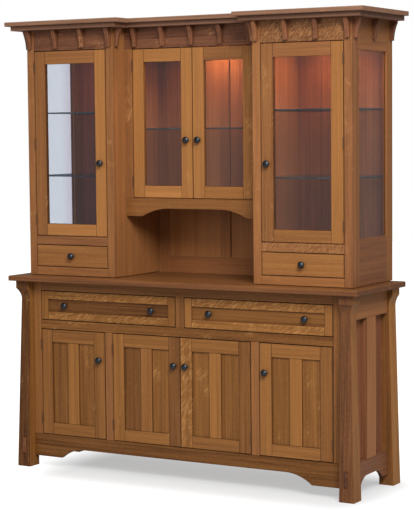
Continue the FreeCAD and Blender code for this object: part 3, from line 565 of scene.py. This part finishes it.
@dataclass
class Workshop:
    """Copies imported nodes, eases their edges and hands the pieces to their bodies."""

    frame: dict

    def hand_over(self, piece: Piece, node: str, slot: Slot, *finishes: Finish) -> None:
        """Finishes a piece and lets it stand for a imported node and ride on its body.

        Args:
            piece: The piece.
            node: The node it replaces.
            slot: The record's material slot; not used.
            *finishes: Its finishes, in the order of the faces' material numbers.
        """
        for finish in finishes:
            piece.data.materials.append(finish.material())
        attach(piece, self.frame["nodes"][node]["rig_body"])
        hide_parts(node)
        log.info("%s stands for %s", piece.name, node)

    def copy(self, node: str, name: str) -> Piece:
        """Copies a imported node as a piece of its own, board by board.

        Args:
            node: The node.
            name: The piece's name.

        Returns:
            The piece, with each solid merged by itself and numbered in the board attribute.
        """
        mesh = self.frame["nodes"][node].data.copy()
        mesh.name = name
        mesh.materials.clear()
        piece = bpy.data.objects.new(name, mesh)
        bpy.context.scene.collection.objects.link(piece)
        runs = closed_runs(mesh)
        numbers = np.zeros(len(mesh.polygons), np.int32)
        for number, run in enumerate(runs):
            numbers[run.start : run.stop] = number
        mesh.attributes.new("board", "INT", "FACE").data.foreach_set("value", numbers)
        for number in range(len(runs)):
            owner = mesh.attributes["board"].data
            chosen = {v for face in mesh.polygons if owner[face.index].value == number for v in face.vertices}
            pick(piece, lambda vertex: vertex.index in chosen)
            with editing(piece):
                bpy.ops.mesh.remove_doubles(threshold=CORNER_GAP)
        with editing(piece):
            bpy.ops.mesh.select_all(action="SELECT")
            bpy.ops.mesh.customdata_custom_splitnormals_clear()
            bpy.ops.mesh.dissolve_limited(angle_limit=FLAT_ANGLE)
        return piece

    def ease(self, piece: Piece, width: float, segments: int = 2, arris: float = 1.0) -> None:
        """Rounds a piece's sharp edges and marks the rounded faces in the edge attribute.

        Args:
            piece: The piece.
            width: How wide, in metres.
            segments: How many faces round the edge.
            arris: The mark, above 0 for edges rubbed pale, which on the corbels is raised into a painted
                highlight, and below 0 for edges darkened by gathered stain and by painted shade in the gaps
                beside them.
        """
        for _ in range(2):
            piece.data.materials.append(None)
        piece.data.polygons.foreach_set("material_index", [0] * len(piece.data.polygons))
        apply_modifier(
            piece, "BEVEL", width=width, segments=segments, limit_method="ANGLE", angle_limit=SHARP_ANGLE,
            use_clamp_overlap=True, material=1,
        )
        mesh = piece.data
        marks = np.zeros(len(mesh.polygons), np.int32)
        mesh.polygons.foreach_get("material_index", marks)
        edges = marks.astype(np.float32) * arris
        mesh.attributes.new("edge", "FLOAT", "FACE").data.foreach_set("value", edges)
        mesh.polygons.foreach_set("material_index", [0] * len(marks))
        mesh.materials.clear()
        choose(piece)
        bpy.ops.object.shade_smooth_by_angle(angle=ROUND_ANGLE)
        apply_modifier(piece, "WEIGHTED_NORMAL", keep_sharp=True, weight=100)

    def dress(self, node: str, name: str, width: float, segments: int, slot: Slot, finish: Finish) -> None:
        """Makes a piece of a node, with its edges eased to a width in metres."""
        piece = self.copy(node, name)
        self.ease(piece, width, segments)
        self.hand_over(piece, node, slot, finish)

    def oak(self, look: OakNode, finish: OakFinish, slot: Slot = Slot.STAINED_OAK) -> None:
        """Makes one piece of oak boards.

        Args:
            look: The node and how it looks.
            finish: The oak's finish.
            slot: The record's material slot.
        """
        piece = self.copy(look.node, look.node + "_boards")
        if look.gap:
            foot = min(vertex.co.z for vertex in piece.data.vertices)
            pick(piece, lambda vertex: vertex.co.z < foot + NEAR)
            with editing(piece):
                bpy.ops.transform.translate(value=(0.0, 0.0, look.gap))
        self.ease(piece, look.ease, arris=look.arris)
        BoardGrain(piece.data, look).write()
        self.hand_over(piece, look.node, slot, finish)


def both_sides(*names: str) -> tuple[str, ...]:
    """Names of boards that come in pairs, right before left."""
    return tuple(f"{name}_{side}" for name in names for side in ("right", "left"))


FRAME_BOARDS = ("left_stile", "right_stile", "bottom_rail", "top_rail")
DOOR_BOARDS = FRAME_BOARDS + ("muntin", "left_panel", "right_panel")
DRAWER_BOARDS = FRAME_BOARDS + ("panel",)


@dataclass(frozen=True)
class OakNode:
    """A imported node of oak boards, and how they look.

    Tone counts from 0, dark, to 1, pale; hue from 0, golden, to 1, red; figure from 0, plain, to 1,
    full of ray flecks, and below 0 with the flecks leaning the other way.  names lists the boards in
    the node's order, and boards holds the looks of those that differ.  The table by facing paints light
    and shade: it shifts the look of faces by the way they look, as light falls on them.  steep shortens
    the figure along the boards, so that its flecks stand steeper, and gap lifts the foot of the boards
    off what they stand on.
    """

    node: str
    tone: float = 0.5
    hue: float = 0.4
    figure: float = 0.4
    spread: float = 0.05
    ease: float = 0.0007
    arris: float = 1.0
    facing: dict[Facing, Triple] = field(default_factory=dict)
    steep: float = 1.0
    gap: float = 0.0
    names: tuple[str, ...] = ()
    boards: dict[str, Triple] = field(default_factory=dict)


# Painted shade: faces that look down, under the friezes and rails, are made as dark as their tone allows.
PAINTED_UNDERSIDE_SHADE = {Facing.DOWN: (-1.0, 0.0, 0.0)}
# Painted shade for doors: faces that look up or to the right, in the panel recesses and the gaps, are made
# darker.
PAINTED_DOOR_SHADE = {Facing.UP: (-0.6, 0.0, 0.0), Facing.RIGHT: (-0.3, 0.0, 0.0)}


@dataclass
class BoardGrain:
    """Gives every board of a piece its own run of grain, along its longest side.

    The boards are numbered in the board attribute.  They come from a trunk of the given size.
    """

    mesh: bpy.types.Mesh
    look: OakNode
    trunk: Triple = (40.0, 9.0, 9.0)
    facing_share: float = 0.7

    def tones(self, number: int, dice: random.Random) -> Triple:
        """Tone, hue and figure of one board.

        Args:
            number: The board's number.
            dice: Seeded for the node.

        Returns:
            The three values.
        """
        spread = self.look.spread
        drift = (dice.uniform(-spread, spread), dice.uniform(-spread, spread))
        lean = dice.choice((-1.0, 1.0))
        name = self.look.names[number] if number < len(self.look.names) else ""
        if name in self.look.boards:
            return self.look.boards[name]
        return self.look.tone + drift[0], self.look.hue + drift[1], self.look.figure * lean

    def write(self) -> None:
        """Writes the grain, in metres along, across and through each board, and each face's tones."""
        mesh = self.mesh
        places = self.read(mesh.vertices, "co", 3, np.float32)
        normals = self.read(mesh.polygons, "normal", 3, np.float32)
        numbers = self.read(mesh.attributes["board"].data, "value", 1, np.int32).ravel()
        owner = np.zeros(len(places), np.int32)
        for face in mesh.polygons:
            owner[list(face.vertices)] = numbers[face.index]
        grain = np.zeros((len(places), 3), np.float32)
        tones = np.zeros((len(numbers), 3), np.float32)
        dice = random.Random(self.look.node)
        for number in range(int(numbers.max()) + 1):
            mine = owner == number
            low = places[mine].min(0)
            order = np.argsort(low - places[mine].max(0))
            look = self.tones(number, dice)
            lean = np.array([self.look.steep, math.copysign(1.0, look[2]), 1.0])
            shift = np.array([dice.uniform(0, size) for size in self.trunk])
            grain[mine] = (places[mine] - low)[:, order] * lean + shift
            tones[numbers == number] = (look[0], look[1], abs(look[2]))
        # Painted light and shade: faces that look a given way get their tones shifted, paler where light
        # falls on them and darker where shade does.
        for way, painted_shift in self.look.facing.items():
            tones[normals @ np.array(way.value) > self.facing_share] += painted_shift
        tones = tones.clip(0.0, 1.0).astype(np.float32)
        mesh.attributes.new("grain", "FLOAT_VECTOR", "POINT").data.foreach_set("vector", grain.ravel())
        mesh.attributes.new("tones", "FLOAT_VECTOR", "FACE").data.foreach_set("vector", tones.ravel())

    @staticmethod
    def read(items: bpy.types.bpy_prop_collection, name: str, width: int, kind: type) -> np.ndarray:
        """Reads one property of all items into rows."""
        values = np.zeros(len(items) * width, kind)
        items.foreach_get(name, values)
        return values.reshape(-1, width)


@dataclass
class Base:
    """Legs, frames, sides, counter and inside of the base."""

    outside: tuple[OakNode, ...] = (
        # Painted light and shade: the counter's top is made more golden and its right end a little darker, as
        # light falls on them.
        OakNode("countertop", 0.22, 0.6, 0.1, ease=0.0004,
                facing={Facing.UP: (0.0, -0.2, 0.0), Facing.RIGHT: (-0.07, 0.0, 0.0)}),
        # Painted light: the legs' faces that look right, towards the key lamp, are made paler, more golden
        # and plainer, and the rear right leg is made paler as if lit.
        OakNode("legs", 0.16, 0.55, 0.2, ease=0.0012, facing={Facing.RIGHT: (0.26, -0.3, -0.2)},
                names=both_sides("front", "rear"),
                boards={"front_left": (0.1, 0.25, 0.35), "front_right": (0.18, 0.55, 0.1),
                        "rear_right": (0.3, 0.3, 0.2)}),
        # The face frame's eased edges get gathered stain with painted shade along the gaps.
        OakNode("base_face_frame", 0.3, 0.35, 0.2, arris=-0.8,
                names=(*both_sides("stile", "mullion"), "top_rail", "mid_rail", "drawer_mullion"),
                boards={"mullion_right": (0.46, 0.4, 0.2), "mullion_left": (0.46, 0.5, 0.2),
                        "mid_rail": (0.26, 0.15, 0.35), "stile_left": (0.42, 0.3, 0.1)}),
        OakNode("front_apron", 0.21, 0.2, 0.1, ease=0.001, arris=-0.3),
        # Painted shade: the side frames' faces that look forward, into the panel recesses, are made darker
        # and redder.
        OakNode("base_side_frames", 0.54, 0.5, 0.1, ease=0.001, arris=-0.3,
                names=both_sides("top", "low", "post"), boards={"low_right": (0.3, 0.8, 0.1)},
                facing={Facing.FRONT: (-0.22, 0.3, 0.0)}),
        OakNode("base_side_panels", 0.36, 1.0, 0.2),
    )
    inside: tuple[OakNode, ...] = (
        OakNode("base_back", 0.4, 0.4, 0.1),
        OakNode("base_inside_boards", 0.5, 0.3, 0.2),
        OakNode("drawer_runners", 0.6, 0.3, 0.1),
    )

    def build(self, shop: Workshop) -> None:
        """Makes the base's fixed boards."""
        for look in self.outside:
            shop.oak(look, OUTSIDE_OAK)
        for look in self.inside:
            shop.oak(look, INNER_OAK, Slot.INSIDE_OAK)


@dataclass
class Hutch:
    """Frames, sides, decks and backs of the hutch."""

    boards: tuple[OakNode, ...] = (
        # Undersides get painted shade, and edges marked below 0 get gathered stain with painted shade in the
        # gaps.
        OakNode("tower_face_frames", 0.46, 0.5, 0.3, arris=-0.8, facing=PAINTED_UNDERSIDE_SHADE, steep=2.2, gap=0.0025,
                names=both_sides("inner_stile", "outer_stile", "bottom_rail", "mid_rail", "frieze"),
                boards={"inner_stile_right": (0.54, 0.5, 0.2), "outer_stile_right": (0.44, 0.6, -0.35),
                        "bottom_rail_right": (0.56, 0.4, 0.2),
                        "mid_rail_right": (0.4, 0.5, 0.9), "mid_rail_left": (0.4, 0.6, 0.2),
                        "frieze_right": (0.24, 0.6, 1.0), "frieze_left": (0.19, 1.0, 0.3)}),
        OakNode("tower_side_frames", 0.38, 0.6, 0.2, gap=0.0025,
                names=both_sides("back_stile", "front_stile", "bottom_rail", "top_rail"),
                boards={"bottom_rail_right": (0.32, 0.75, 0.15), "back_stile_right": (0.42, 0.4, 0.2)}),
        OakNode("tower_inner_sides", 0.5, 0.5, 0.15, gap=0.0025),
        # Undersides get painted shade, and edges marked below 0 get gathered stain with painted shade in the
        # gaps.
        OakNode("centre_face_frame", 0.47, 0.5, 0.5, arris=-0.8, facing=PAINTED_UNDERSIDE_SHADE,
                names=(*both_sides("stile"), "frieze"), boards={"frieze": (0.21, 1.0, 0.3)}),
        OakNode("arched_rail", 0.32, 0.3, 0.2, ease=0.001, arris=-0.3),
        OakNode("hutch_decks", 0.34, 0.8, 0.2),
    )
    back: tuple[OakNode, ...] = (
        OakNode("hutch_back_frame", 0.54, 0.3, 0.2),
        OakNode("hutch_back_panels", 0.42, 0.9, 0.1, names=both_sides("tower", "centre"),
                boards={"tower_right": (0.4, 0.45, 0.1), "centre_right": (0.66, 0.2, 0.1),
                        "centre_left": (0.66, 0.2, 0.1)}),
    )

    def build(self, shop: Workshop) -> None:
        """Makes the hutch's fixed boards."""
        for look in self.boards:
            shop.oak(look, OUTSIDE_OAK)
        for look in self.back:
            shop.oak(look, BACK_OAK)


@dataclass
class Cornice:
    """The cornice's two layers and the corbels under it."""

    boards: tuple[OakNode, ...] = (
        OakNode("cornice_bed", 0.38, 0.7, 0.15, ease=0.0005),
        # Painted shade: the cap's top is made darker.
        OakNode("cornice_cap", 0.39, 0.4, 0.2, ease=0.0005, facing={Facing.UP: (-0.25, 0.0, 0.0)}),
    )
    # Painted highlight: the corbels' eased edges are marked paler than worn edges elsewhere, standing in for
    # light on them.
    corbels: OakNode = OakNode("corbels", 0.28, 1.0, 0.3, spread=0.13, ease=0.0014, arris=1.8)

    def build(self, shop: Workshop) -> None:
        """Makes the cornice."""
        for look in self.boards:
            shop.oak(look, CORNICE_OAK)
        shop.oak(self.corbels, OUTSIDE_OAK)


def lathe(name: str, profile: Profile, centre: Vector, axis: Vector, faces: int) -> Piece:
    """Turns a profile about an axis, as on a lathe.

    Args:
        name: The piece's name.
        profile: Radius and distance along the axis of each point, in millimetres, from axis to axis.
        centre: Where the axis starts.
        axis: The direction of the axis, square to X.
        faces: How many go round.

    Returns:
        The piece.
    """
    bpy.ops.mesh.primitive_plane_add(size=0.01, location=(0, 0, 0))
    piece = bpy.context.active_object
    piece.name = piece.data.name = name
    out = Vector((1, 0, 0))
    spots = [centre + (out * radius + axis * along) / MILLIMETRES for radius, along in profile]
    with editing(piece):
        bpy.ops.mesh.select_all(action="SELECT")
        bpy.ops.mesh.merge(type="CENTER")
        bpy.ops.transform.translate(value=spots[0])
        for before, after in zip(spots, spots[1:]):
            bpy.ops.mesh.extrude_vertices_move(TRANSFORM_OT_translate={"value": after - before})
        bpy.ops.mesh.select_all(action="SELECT")
        bpy.ops.mesh.spin(steps=faces, angle=2 * math.pi, center=centre, axis=axis)
        bpy.ops.mesh.select_all(action="SELECT")
        bpy.ops.mesh.remove_doubles(threshold=NEAR)
        bpy.ops.mesh.normals_make_consistent(inside=False)
    choose(piece)
    bpy.ops.object.shade_smooth_by_angle(angle=LATHE_ANGLE)
    return piece


def mark_edges(piece: Piece, share: Callable[[Vector], float]) -> None:
    """Writes the edge attribute of a piece, as a share of 0 to 1 for the place of each vertex."""
    values = [share(vertex.co) for vertex in piece.data.vertices]
    piece.data.attributes.new("edge", "FLOAT", "POINT").data.foreach_set("value", values)


@dataclass
class Knob:
    """A round knob on a small back plate, turned in bronze. Sizes in millimetres."""

    radius: float = 16.0
    stand: float = 27.0
    half: float = 10.5
    rubbed: float = 15.5
    plate: Profile = (
        (0.0, 0.0), (9.9, 0.0), (10.4, 0.3), (10.5, 0.9), (10.4, 1.6), (9.9, 2.2), (9.0, 2.5), (7.6, 2.6),
        (6.6, 3.0), (6.1, 3.8), (6.0, 5.2),
    )
    steps: int = 18
    faces: int = 40

    def profile(self) -> Profile:
        """The plate and neck, and the round head over them."""
        start = math.asin(self.plate[-1][0] / self.radius)
        turns = [start + (math.pi - start) * step / self.steps for step in range(1, self.steps + 1)]
        middle = self.stand - self.half
        head = [(self.radius * math.sin(turn), middle - self.half * math.cos(turn)) for turn in turns]
        return (*self.plate, *head)

    def build(self, shop: Workshop, node: str, name: str, x: float, tip: float, z: float) -> None:
        """Turns a knob and hands it over.

        Args:
            shop: The workshop.
            node: The node it stands for.
            name: The piece's name.
            x: Its place across.
            tip: Where its front ends along Y.
            z: Its height.
        """
        centre = Vector((x, tip + self.stand / MILLIMETRES, z))
        piece = lathe(name, self.profile(), centre, Vector((0, -1, 0)), self.faces)
        rim = self.rubbed / MILLIMETRES
        mark_edges(piece, lambda spot: 1.0 if math.hypot(spot.x - x, spot.z - z) > rim else 0.0)
        shop.hand_over(piece, node, Slot.DARK_BRONZE, BRONZE)


def add_pane(shop: Workshop, node: str, finish: GlassFinish = CLEAR_GLASS) -> None:
    """Makes a pane of glass with its edges ground."""
    shop.dress(node, node + "_pane", PANE_ARRIS, 1, Slot.CLEAR_GLASS, finish)


@dataclass
class Front:
    """What doors and drawers share: a name and the looks of their boards."""

    kind: str
    side: Side
    tone: float
    hue: float
    boards: dict[str, Triple]

    @property
    def node(self) -> str:
        """The name that its nodes start with."""
        return f"{self.kind}_{self.side.word}"


@dataclass
class Door(Front):
    """A hinged door: its boards, and the knob and hinge leaves on it."""

    knob_height: float = 0.536
    glazed: bool = False
    knob_zone: float = 0.03

    def build(self, shop: Workshop) -> None:
        """Makes the door's boards, glass, knob and hinge leaves."""
        # The door gets painted shade on faces that look up or to the right, and gathered stain with painted
        # shade on its eased edges.
        look = OakNode(
            self.node, self.tone, self.hue, 0.2, ease=0.001, arris=-0.8, facing=PAINTED_DOOR_SHADE, names=DOOR_BOARDS,
            boards=self.boards,
        )
        shop.oak(look, OUTSIDE_OAK)
        if self.glazed:
            add_pane(shop, self.node + "_glass")
        self.build_hardware(shop)

    def build_hardware(self, shop: Workshop) -> None:
        """Turns the knob and copies the hinge leaves."""
        node = self.node + "_hardware"
        low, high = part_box(node)
        reach = Knob().radius / MILLIMETRES
        knob_x = high.x - reach if self.side is Side.LEFT else low.x + reach
        Knob().build(shop, node, self.node + "_knob", knob_x, low.y, self.knob_height)
        leaves = shop.copy(node, self.node + "_hinge_leaves")
        pick(leaves, lambda vertex: abs(vertex.co.x - knob_x) < self.knob_zone)
        with editing(leaves):
            bpy.ops.mesh.delete(type="VERT")
        shop.ease(leaves, LEAF_ARRIS, 1)
        shop.hand_over(leaves, node, Slot.DARK_BRONZE, HINGE_BROWN)


@dataclass
class Drawer(Front):
    """A drawer: its front, box and knobs."""

    figure: float
    knobs: str

    def build(self, shop: Workshop) -> None:
        """Makes the drawer's pieces."""
        # The drawer front's eased edges get gathered stain with painted shade along the gaps.
        look = OakNode(
            self.node + "_front", self.tone, self.hue, self.figure, ease=0.001, arris=-0.8,
            names=DRAWER_BOARDS, boards=self.boards,
        )
        shop.oak(look, OUTSIDE_OAK)
        shop.oak(OakNode(self.node + "_box", 0.6, 0.25, 0.1), INNER_OAK, Slot.INSIDE_OAK)
        node = f"{self.node}_{self.knobs}"
        low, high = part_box(node)
        reach = Knob().radius / MILLIMETRES
        spots = {low.x + reach, high.x - reach} if self.knobs == "knobs" else {(low.x + high.x) / 2}
        for index, x in enumerate(sorted(spots)):
            Knob().build(shop, node, f"{self.node}_knob_{index + 1}", x, low.y, (low.z + high.z) / 2)


@dataclass
class Glazing:
    """The towers' side panes, and loose glass shelves with polished edges."""

    shelves: str = "glass_shelves"
    shelf_arris: float = 0.0008

    def build(self, shop: Workshop) -> None:
        """Makes the panes, and the shelves with their upright faces in the edge finish."""
        add_pane(shop, "side_glass", SIDE_GLASS)
        piece = shop.copy(self.shelves, "glass_shelf_panes")
        shop.ease(piece, self.shelf_arris)
        for face in piece.data.polygons:
            face.material_index = 0 if abs(face.normal.z) > 0.5 else 1
        shop.hand_over(piece, self.shelves, Slot.SHELF_GLASS, SHELF_GLASS, SHELF_EDGE)


@dataclass
class SmallParts:
    """Fixed hinge leaves, shelf pins and door catches."""

    pin_arris: float = 0.0006
    catch_arris: float = 0.0015

    def build(self, shop: Workshop) -> None:
        """Makes the small fixed parts."""
        shop.dress("hinge_frame_leaves", "fixed_hinge_leaves", LEAF_ARRIS, 1, Slot.DARK_BRONZE, HINGE_BROWN)
        shop.dress("shelf_pins", "turned_shelf_pins", self.pin_arris, 2, Slot.STEEL, STEEL)
        shop.dress("door_catches", "catch_bodies", self.catch_arris, 3, Slot.CATCH_PLASTIC, PLASTIC)


def area_lamp(name: str, place: Sequence[float], size: float, power: float) -> Piece:
    """Adds a lamp that faces down, with its width in metres and its power in watts."""
    data = bpy.data.lights.new(name, "AREA")
    data.size = size
    data.energy = power
    lamp = bpy.data.objects.new(name, data)
    lamp.location = place
    bpy.context.scene.collection.objects.link(lamp)
    return lamp


@dataclass
class Lights:
    """Round lights under the hutch ceilings. Profiles in millimetres, measured down from the ceiling."""

    housing: Profile = (
        (0.0, 0.0), (33.4, 0.0), (34.0, 0.6), (34.0, 9.6), (33.7, 11.2), (32.9, 12.6), (31.6, 13.6),
        (30.2, 14.0), (29.2, 13.7), (28.6, 13.0), (28.4, 12.4), (0.0, 12.4),
    )
    lens: Profile = (
        (0.0, 12.6), (28.0, 12.6), (28.0, 14.0), (27.4, 14.8), (25.4, 15.5), (21.0, 16.2), (14.0, 16.7),
        (7.0, 16.95), (0.0, 17.0),
    )
    faces: int = 48
    radius: float = 0.034
    rubbed: float = 0.0125
    glow_radius: float = 0.026
    lamp_drop: float = 0.022
    lamp_size: float = 0.05
    lamp_warmth: Rgb = (1.0, 0.55, 0.3)
    lamp_powers: tuple[float, float, float] = (1.0, 1.75, 2.7)
    lamp_spread: float = 156.0

    def build(self, shop: Workshop) -> None:
        """Turns housings and lenses, and hangs a lamp under each."""
        low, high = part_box("light_housings")
        left = low.x + self.radius
        for index, x in enumerate((left, 0.0, -left)):
            self.build_light(shop, index, Vector((x, self.middle_y(shop, x), high.z)))

    def build_light(self, shop: Workshop, index: int, top: Vector) -> None:
        """Makes one light and its lamp.

        Args:
            shop: The workshop.
            index: Which light.
            top: The middle of its top.
        """
        down = Vector((0, 0, -1))
        housing = lathe(f"light_housing_{index + 1}", self.housing, top, down, self.faces)
        mark_edges(housing, lambda spot: 1.0 if top.z - spot.z > self.rubbed else 0.0)
        shop.hand_over(housing, "light_housings", Slot.DARK_BRONZE, BRONZE)
        lens = lathe(f"light_lens_{index + 1}", self.lens, top, down, self.faces)
        mark_edges(lens, lambda spot: max(0.0, 1.0 - (spot - top).xy.length / self.glow_radius))
        shop.hand_over(lens, "light_lenses", Slot.LIGHT_LENS, LENS)
        place = top + down * self.lamp_drop
        lamp = area_lamp(f"cabinet_lamp_{index + 1}", place, self.lamp_size, self.lamp_powers[index])
        lamp.data.shape = "DISK"
        lamp.data.color = self.lamp_warmth
        lamp.data.spread = math.radians(self.lamp_spread)
        lamp.visible_camera = False

    def middle_y(self, shop: Workshop, x: float) -> float:
        """The depth of the light whose middle is at x."""
        spots = [vertex.co for vertex in shop.frame["nodes"]["light_housings"].data.vertices]
        near = [spot.y for spot in spots if abs(spot.x - x) < 2 * self.radius]
        return (min(near) + max(near)) / 2


@dataclass
class Studio:
    """Floor, white background, soft lamps and the camera.

    The shadow on the floor is kept, and deepened by painted shade, over a stretch along X and Y where the
    floor glows less, each by its middle, half its length and the length over which it fades.
    """

    camera_place: Triple = (3.9913, -6.7553, 1.6306)
    yaw: float = 30.35
    pitch: float = 4.35
    roll: float = -0.53
    focal_pixels: float = 1689.7
    sky: float = 0.4
    mirror_sky: float = 0.2
    floor_size: float = 30.0
    floor_base: float = 0.45
    floor_grey: float = 0.38
    shadow_wide: Triple = (0.12, 0.7, 0.34)
    shadow_deep: Triple = (-0.04, 0.22, 0.38)

    def build(self) -> None:
        """Builds the whole stage."""
        self.build_world()
        self.build_floor()
        self.build_lamps()
        self.build_camera()

    @staticmethod
    def seen(bench: NodeBench, path: bpy.types.Node) -> Socket:
        """Is 1 for rays from the camera, also through glass, and 0 for others."""
        return bench.math("MAXIMUM", path.outputs["Is Camera Ray"], path.outputs["Is Transmission Ray"])

    def build_world(self) -> None:
        """A white background for the camera and glass, and a softer sky for light."""
        world = bpy.data.worlds.new("studio")
        bpy.context.scene.world = world
        bench = NodeBench(world, "OutputWorld")
        path = bench.add("LightPath")
        level = bench.weigh(self.sky, (path.outputs["Is Glossy Ray"], 0.0, self.mirror_sky - self.sky))
        white = bench.math("MAXIMUM", level, self.seen(bench, path))
        bench.show(bench.add("Background", (1.0, 1.0, 1.0), white).outputs[0])

    def build_floor(self) -> None:
        """A pale floor that keeps the cabinet's shadow, glows less round the cabinet as painted shade, and
        fades into the background.
        """
        bpy.ops.mesh.primitive_grid_add(
            x_subdivisions=8, y_subdivisions=8, size=self.floor_size, location=(0, 0, 0)
        )
        floor = bpy.context.active_object
        floor.name = "studio_floor"
        material = bpy.data.materials.new("studio_floor")
        bench = NodeBench(material, "OutputMaterial")
        x, y, _ = bench.parts(bench.place())
        wide = self.past(bench, x, *self.shadow_wide)
        deep = self.past(bench, y, *self.shadow_deep)
        reach = bench.math("SQRT", bench.math("ADD", wide, deep))
        # Painted shade: the floor glows less near the cabinet than away from it, darkening the zone where its
        # shadow falls.
        glow = bench.weigh(self.floor_base, (bench.window(reach, 0.0, 1.0), 0.0, 1.0 - self.floor_base))
        strength = bench.math("MULTIPLY", glow, self.seen(bench, bench.add("LightPath")))
        matt = bench.add("BsdfDiffuse", (self.floor_grey,) * 3).outputs[0]
        light = bench.named("Emission", {"Strength": strength})
        bench.show(bench.add("AddShader", matt, light).outputs[0])
        floor.data.materials.append(material)

    @staticmethod
    def past(bench: NodeBench, value: Socket, middle: float, half: float, span: float) -> Socket:
        """How far a place lies past a stretch, in spans and squared.

        Args:
            bench: The floor's bench.
            value: The place along one axis.
            middle: The stretch's middle.
            half: Half its length.
            span: The length that counts as one.

        Returns:
            The square of the distance.
        """
        away = bench.math("ABSOLUTE", bench.math("SUBTRACT", value, middle))
        over = bench.math("MAXIMUM", bench.math("SUBTRACT", away, half), 0.0)
        return bench.math("POWER", bench.math("DIVIDE", over, span), 2.0)

    def build_lamps(self) -> None:
        """Soft lamps: a key from high on the front right, which shiny parts show, a fill and one overhead."""
        self.soft_lamp("key", (4.3, -4.7, 5.4), (0.0, 0.0, 1.0), 3.0, 535.0, True)
        self.soft_lamp("fill", (-2.5, -6.0, 2.6), (0.0, 0.0, 1.0), 2.6, 60.0)
        self.soft_lamp("overhead", (0.0, -0.1, 4.8), (0.0, -0.1, 0.0), 1.6, 80.0)

    def soft_lamp(
        self, name: str, place: Triple, target: Triple, size: float, power: float, mirrored: bool = False
    ) -> None:
        """Adds a soft lamp that faces a target, and says whether shiny parts show it."""
        lamp = area_lamp(name, place, size, power)
        lamp.visible_glossy = mirrored
        lamp.rotation_euler = (Vector(target) - Vector(place)).to_track_quat("-Z", "Y").to_euler()

    def build_camera(self) -> None:
        """Sets the camera where the picture was taken from."""
        yaw, pitch, roll = (math.radians(angle) for angle in (self.yaw, self.pitch, self.roll))
        data = bpy.data.cameras.new("camera")
        data.sensor_width = SENSOR
        data.lens = self.focal_pixels * SENSOR / PICTURE_HEIGHT
        data.clip_end = 100.0
        camera = bpy.data.objects.new("camera", data)
        place = Matrix.Translation(self.camera_place)
        for angle, axis in ((yaw, "Z"), (math.pi / 2 - pitch, "X"), (roll, "Z")):
            place = place @ Matrix.Rotation(angle, 4, axis)
        camera.matrix_world = place
        bpy.context.scene.collection.objects.link(camera)
        bpy.context.scene.camera = camera


DOORS = (
    Door("base_outer_door", Side.LEFT, 0.4, 0.15, {
        "left_panel": (0.28, 0.1, 0.1), "right_panel": (0.32, 0.1, 0.3), "muntin": (0.5, 0.1, 0.1),
    }),
    Door("base_inner_door", Side.LEFT, 0.44, 0.15, {
        "left_stile": (0.48, 0.1, 0.3), "right_stile": (0.26, 0.3, 0.1), "muntin": (0.46, 0.2, 0.2),
        "left_panel": (0.24, 0.2, 0.1), "right_panel": (0.35, 0.1, 0.2),
    }),
    Door("base_inner_door", Side.RIGHT, 0.4, 0.15, {
        "left_stile": (0.42, 0.1, 0.8), "right_stile": (0.29, 0.2, 0.1), "muntin": (0.53, 0.1, 0.1),
        "left_panel": (0.32, 0.1, 0.3), "right_panel": (0.3, 0.1, 0.1),
    }),
    Door("base_outer_door", Side.RIGHT, 0.44, 0.15, {
        "left_stile": (0.52, 0.15, 0.1), "right_stile": (0.37, 0.2, 0.1), "muntin": (0.52, 0.1, 0.1),
        "left_panel": (0.32, 0.1, 0.1), "right_panel": (0.36, 0.1, 0.4),
    }),
    Door("tower_door", Side.LEFT, 0.58, 0.25, {
        "left_stile": (0.42, 0.4, 0.2), "right_stile": (0.66, 0.2, 0.2), "bottom_rail": (0.68, 0.25, 0.1),
        "top_rail": (0.5, 0.4, 0.1),
    }, 1.463, True),
    Door("centre_door", Side.LEFT, 0.62, 0.2, {"bottom_rail": (0.72, 0.25, 0.1)}, 1.569, True),
    Door("centre_door", Side.RIGHT, 0.6, 0.2, {
        "top_rail": (0.42, 0.4, 0.1), "right_stile": (0.42, 0.2, 0.5), "bottom_rail": (0.5, 0.2, 0.1),
    }, 1.569, True),
    Door("tower_door", Side.RIGHT, 0.5, 0.3, {
        "left_stile": (0.4, 0.4, 0.4), "top_rail": (0.46, 0.5, 0.1), "right_stile": (0.58, 0.2, 0.2),
    }, 1.463, True),
)
DRAWERS = (
    Drawer("base_drawer", Side.LEFT, 0.39, 0.1, {
        "panel": (0.15, 0.2, 0.1), "top_rail": (0.33, 0.05, 0.9), "bottom_rail": (0.31, 0.05, 0.8),
    }, 0.2, "knobs"),
    Drawer("base_drawer", Side.RIGHT, 0.46, 0.1, {
        "panel": (0.3, 0.1, 0.1), "top_rail": (0.36, 0.1, 1.0), "bottom_rail": (0.42, 0.1, 0.7),
    }, 0.2, "knobs"),
    Drawer("tower_drawer", Side.LEFT, 0.43, 0.25, {}, 0.1, "knob"),
    Drawer("tower_drawer", Side.RIGHT, 0.58, 0.25, {}, 0.15, "knob"),
)


def main() -> None:
    """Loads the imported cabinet, dresses it and sets the stage."""
    logging.basicConfig(level=logging.INFO, format="%(name)s: %(message)s")
    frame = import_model()
    bpy.context.scene.view_settings.view_transform = "Standard"
    shop = Workshop(frame)
    groups = (Base(), Hutch(), Cornice(), *DOORS, *DRAWERS, Glazing(), SmallParts(), Lights())
    for group in groups:
        group.build(shop)
    Studio().build()


if __name__ == "__main__":
    main()
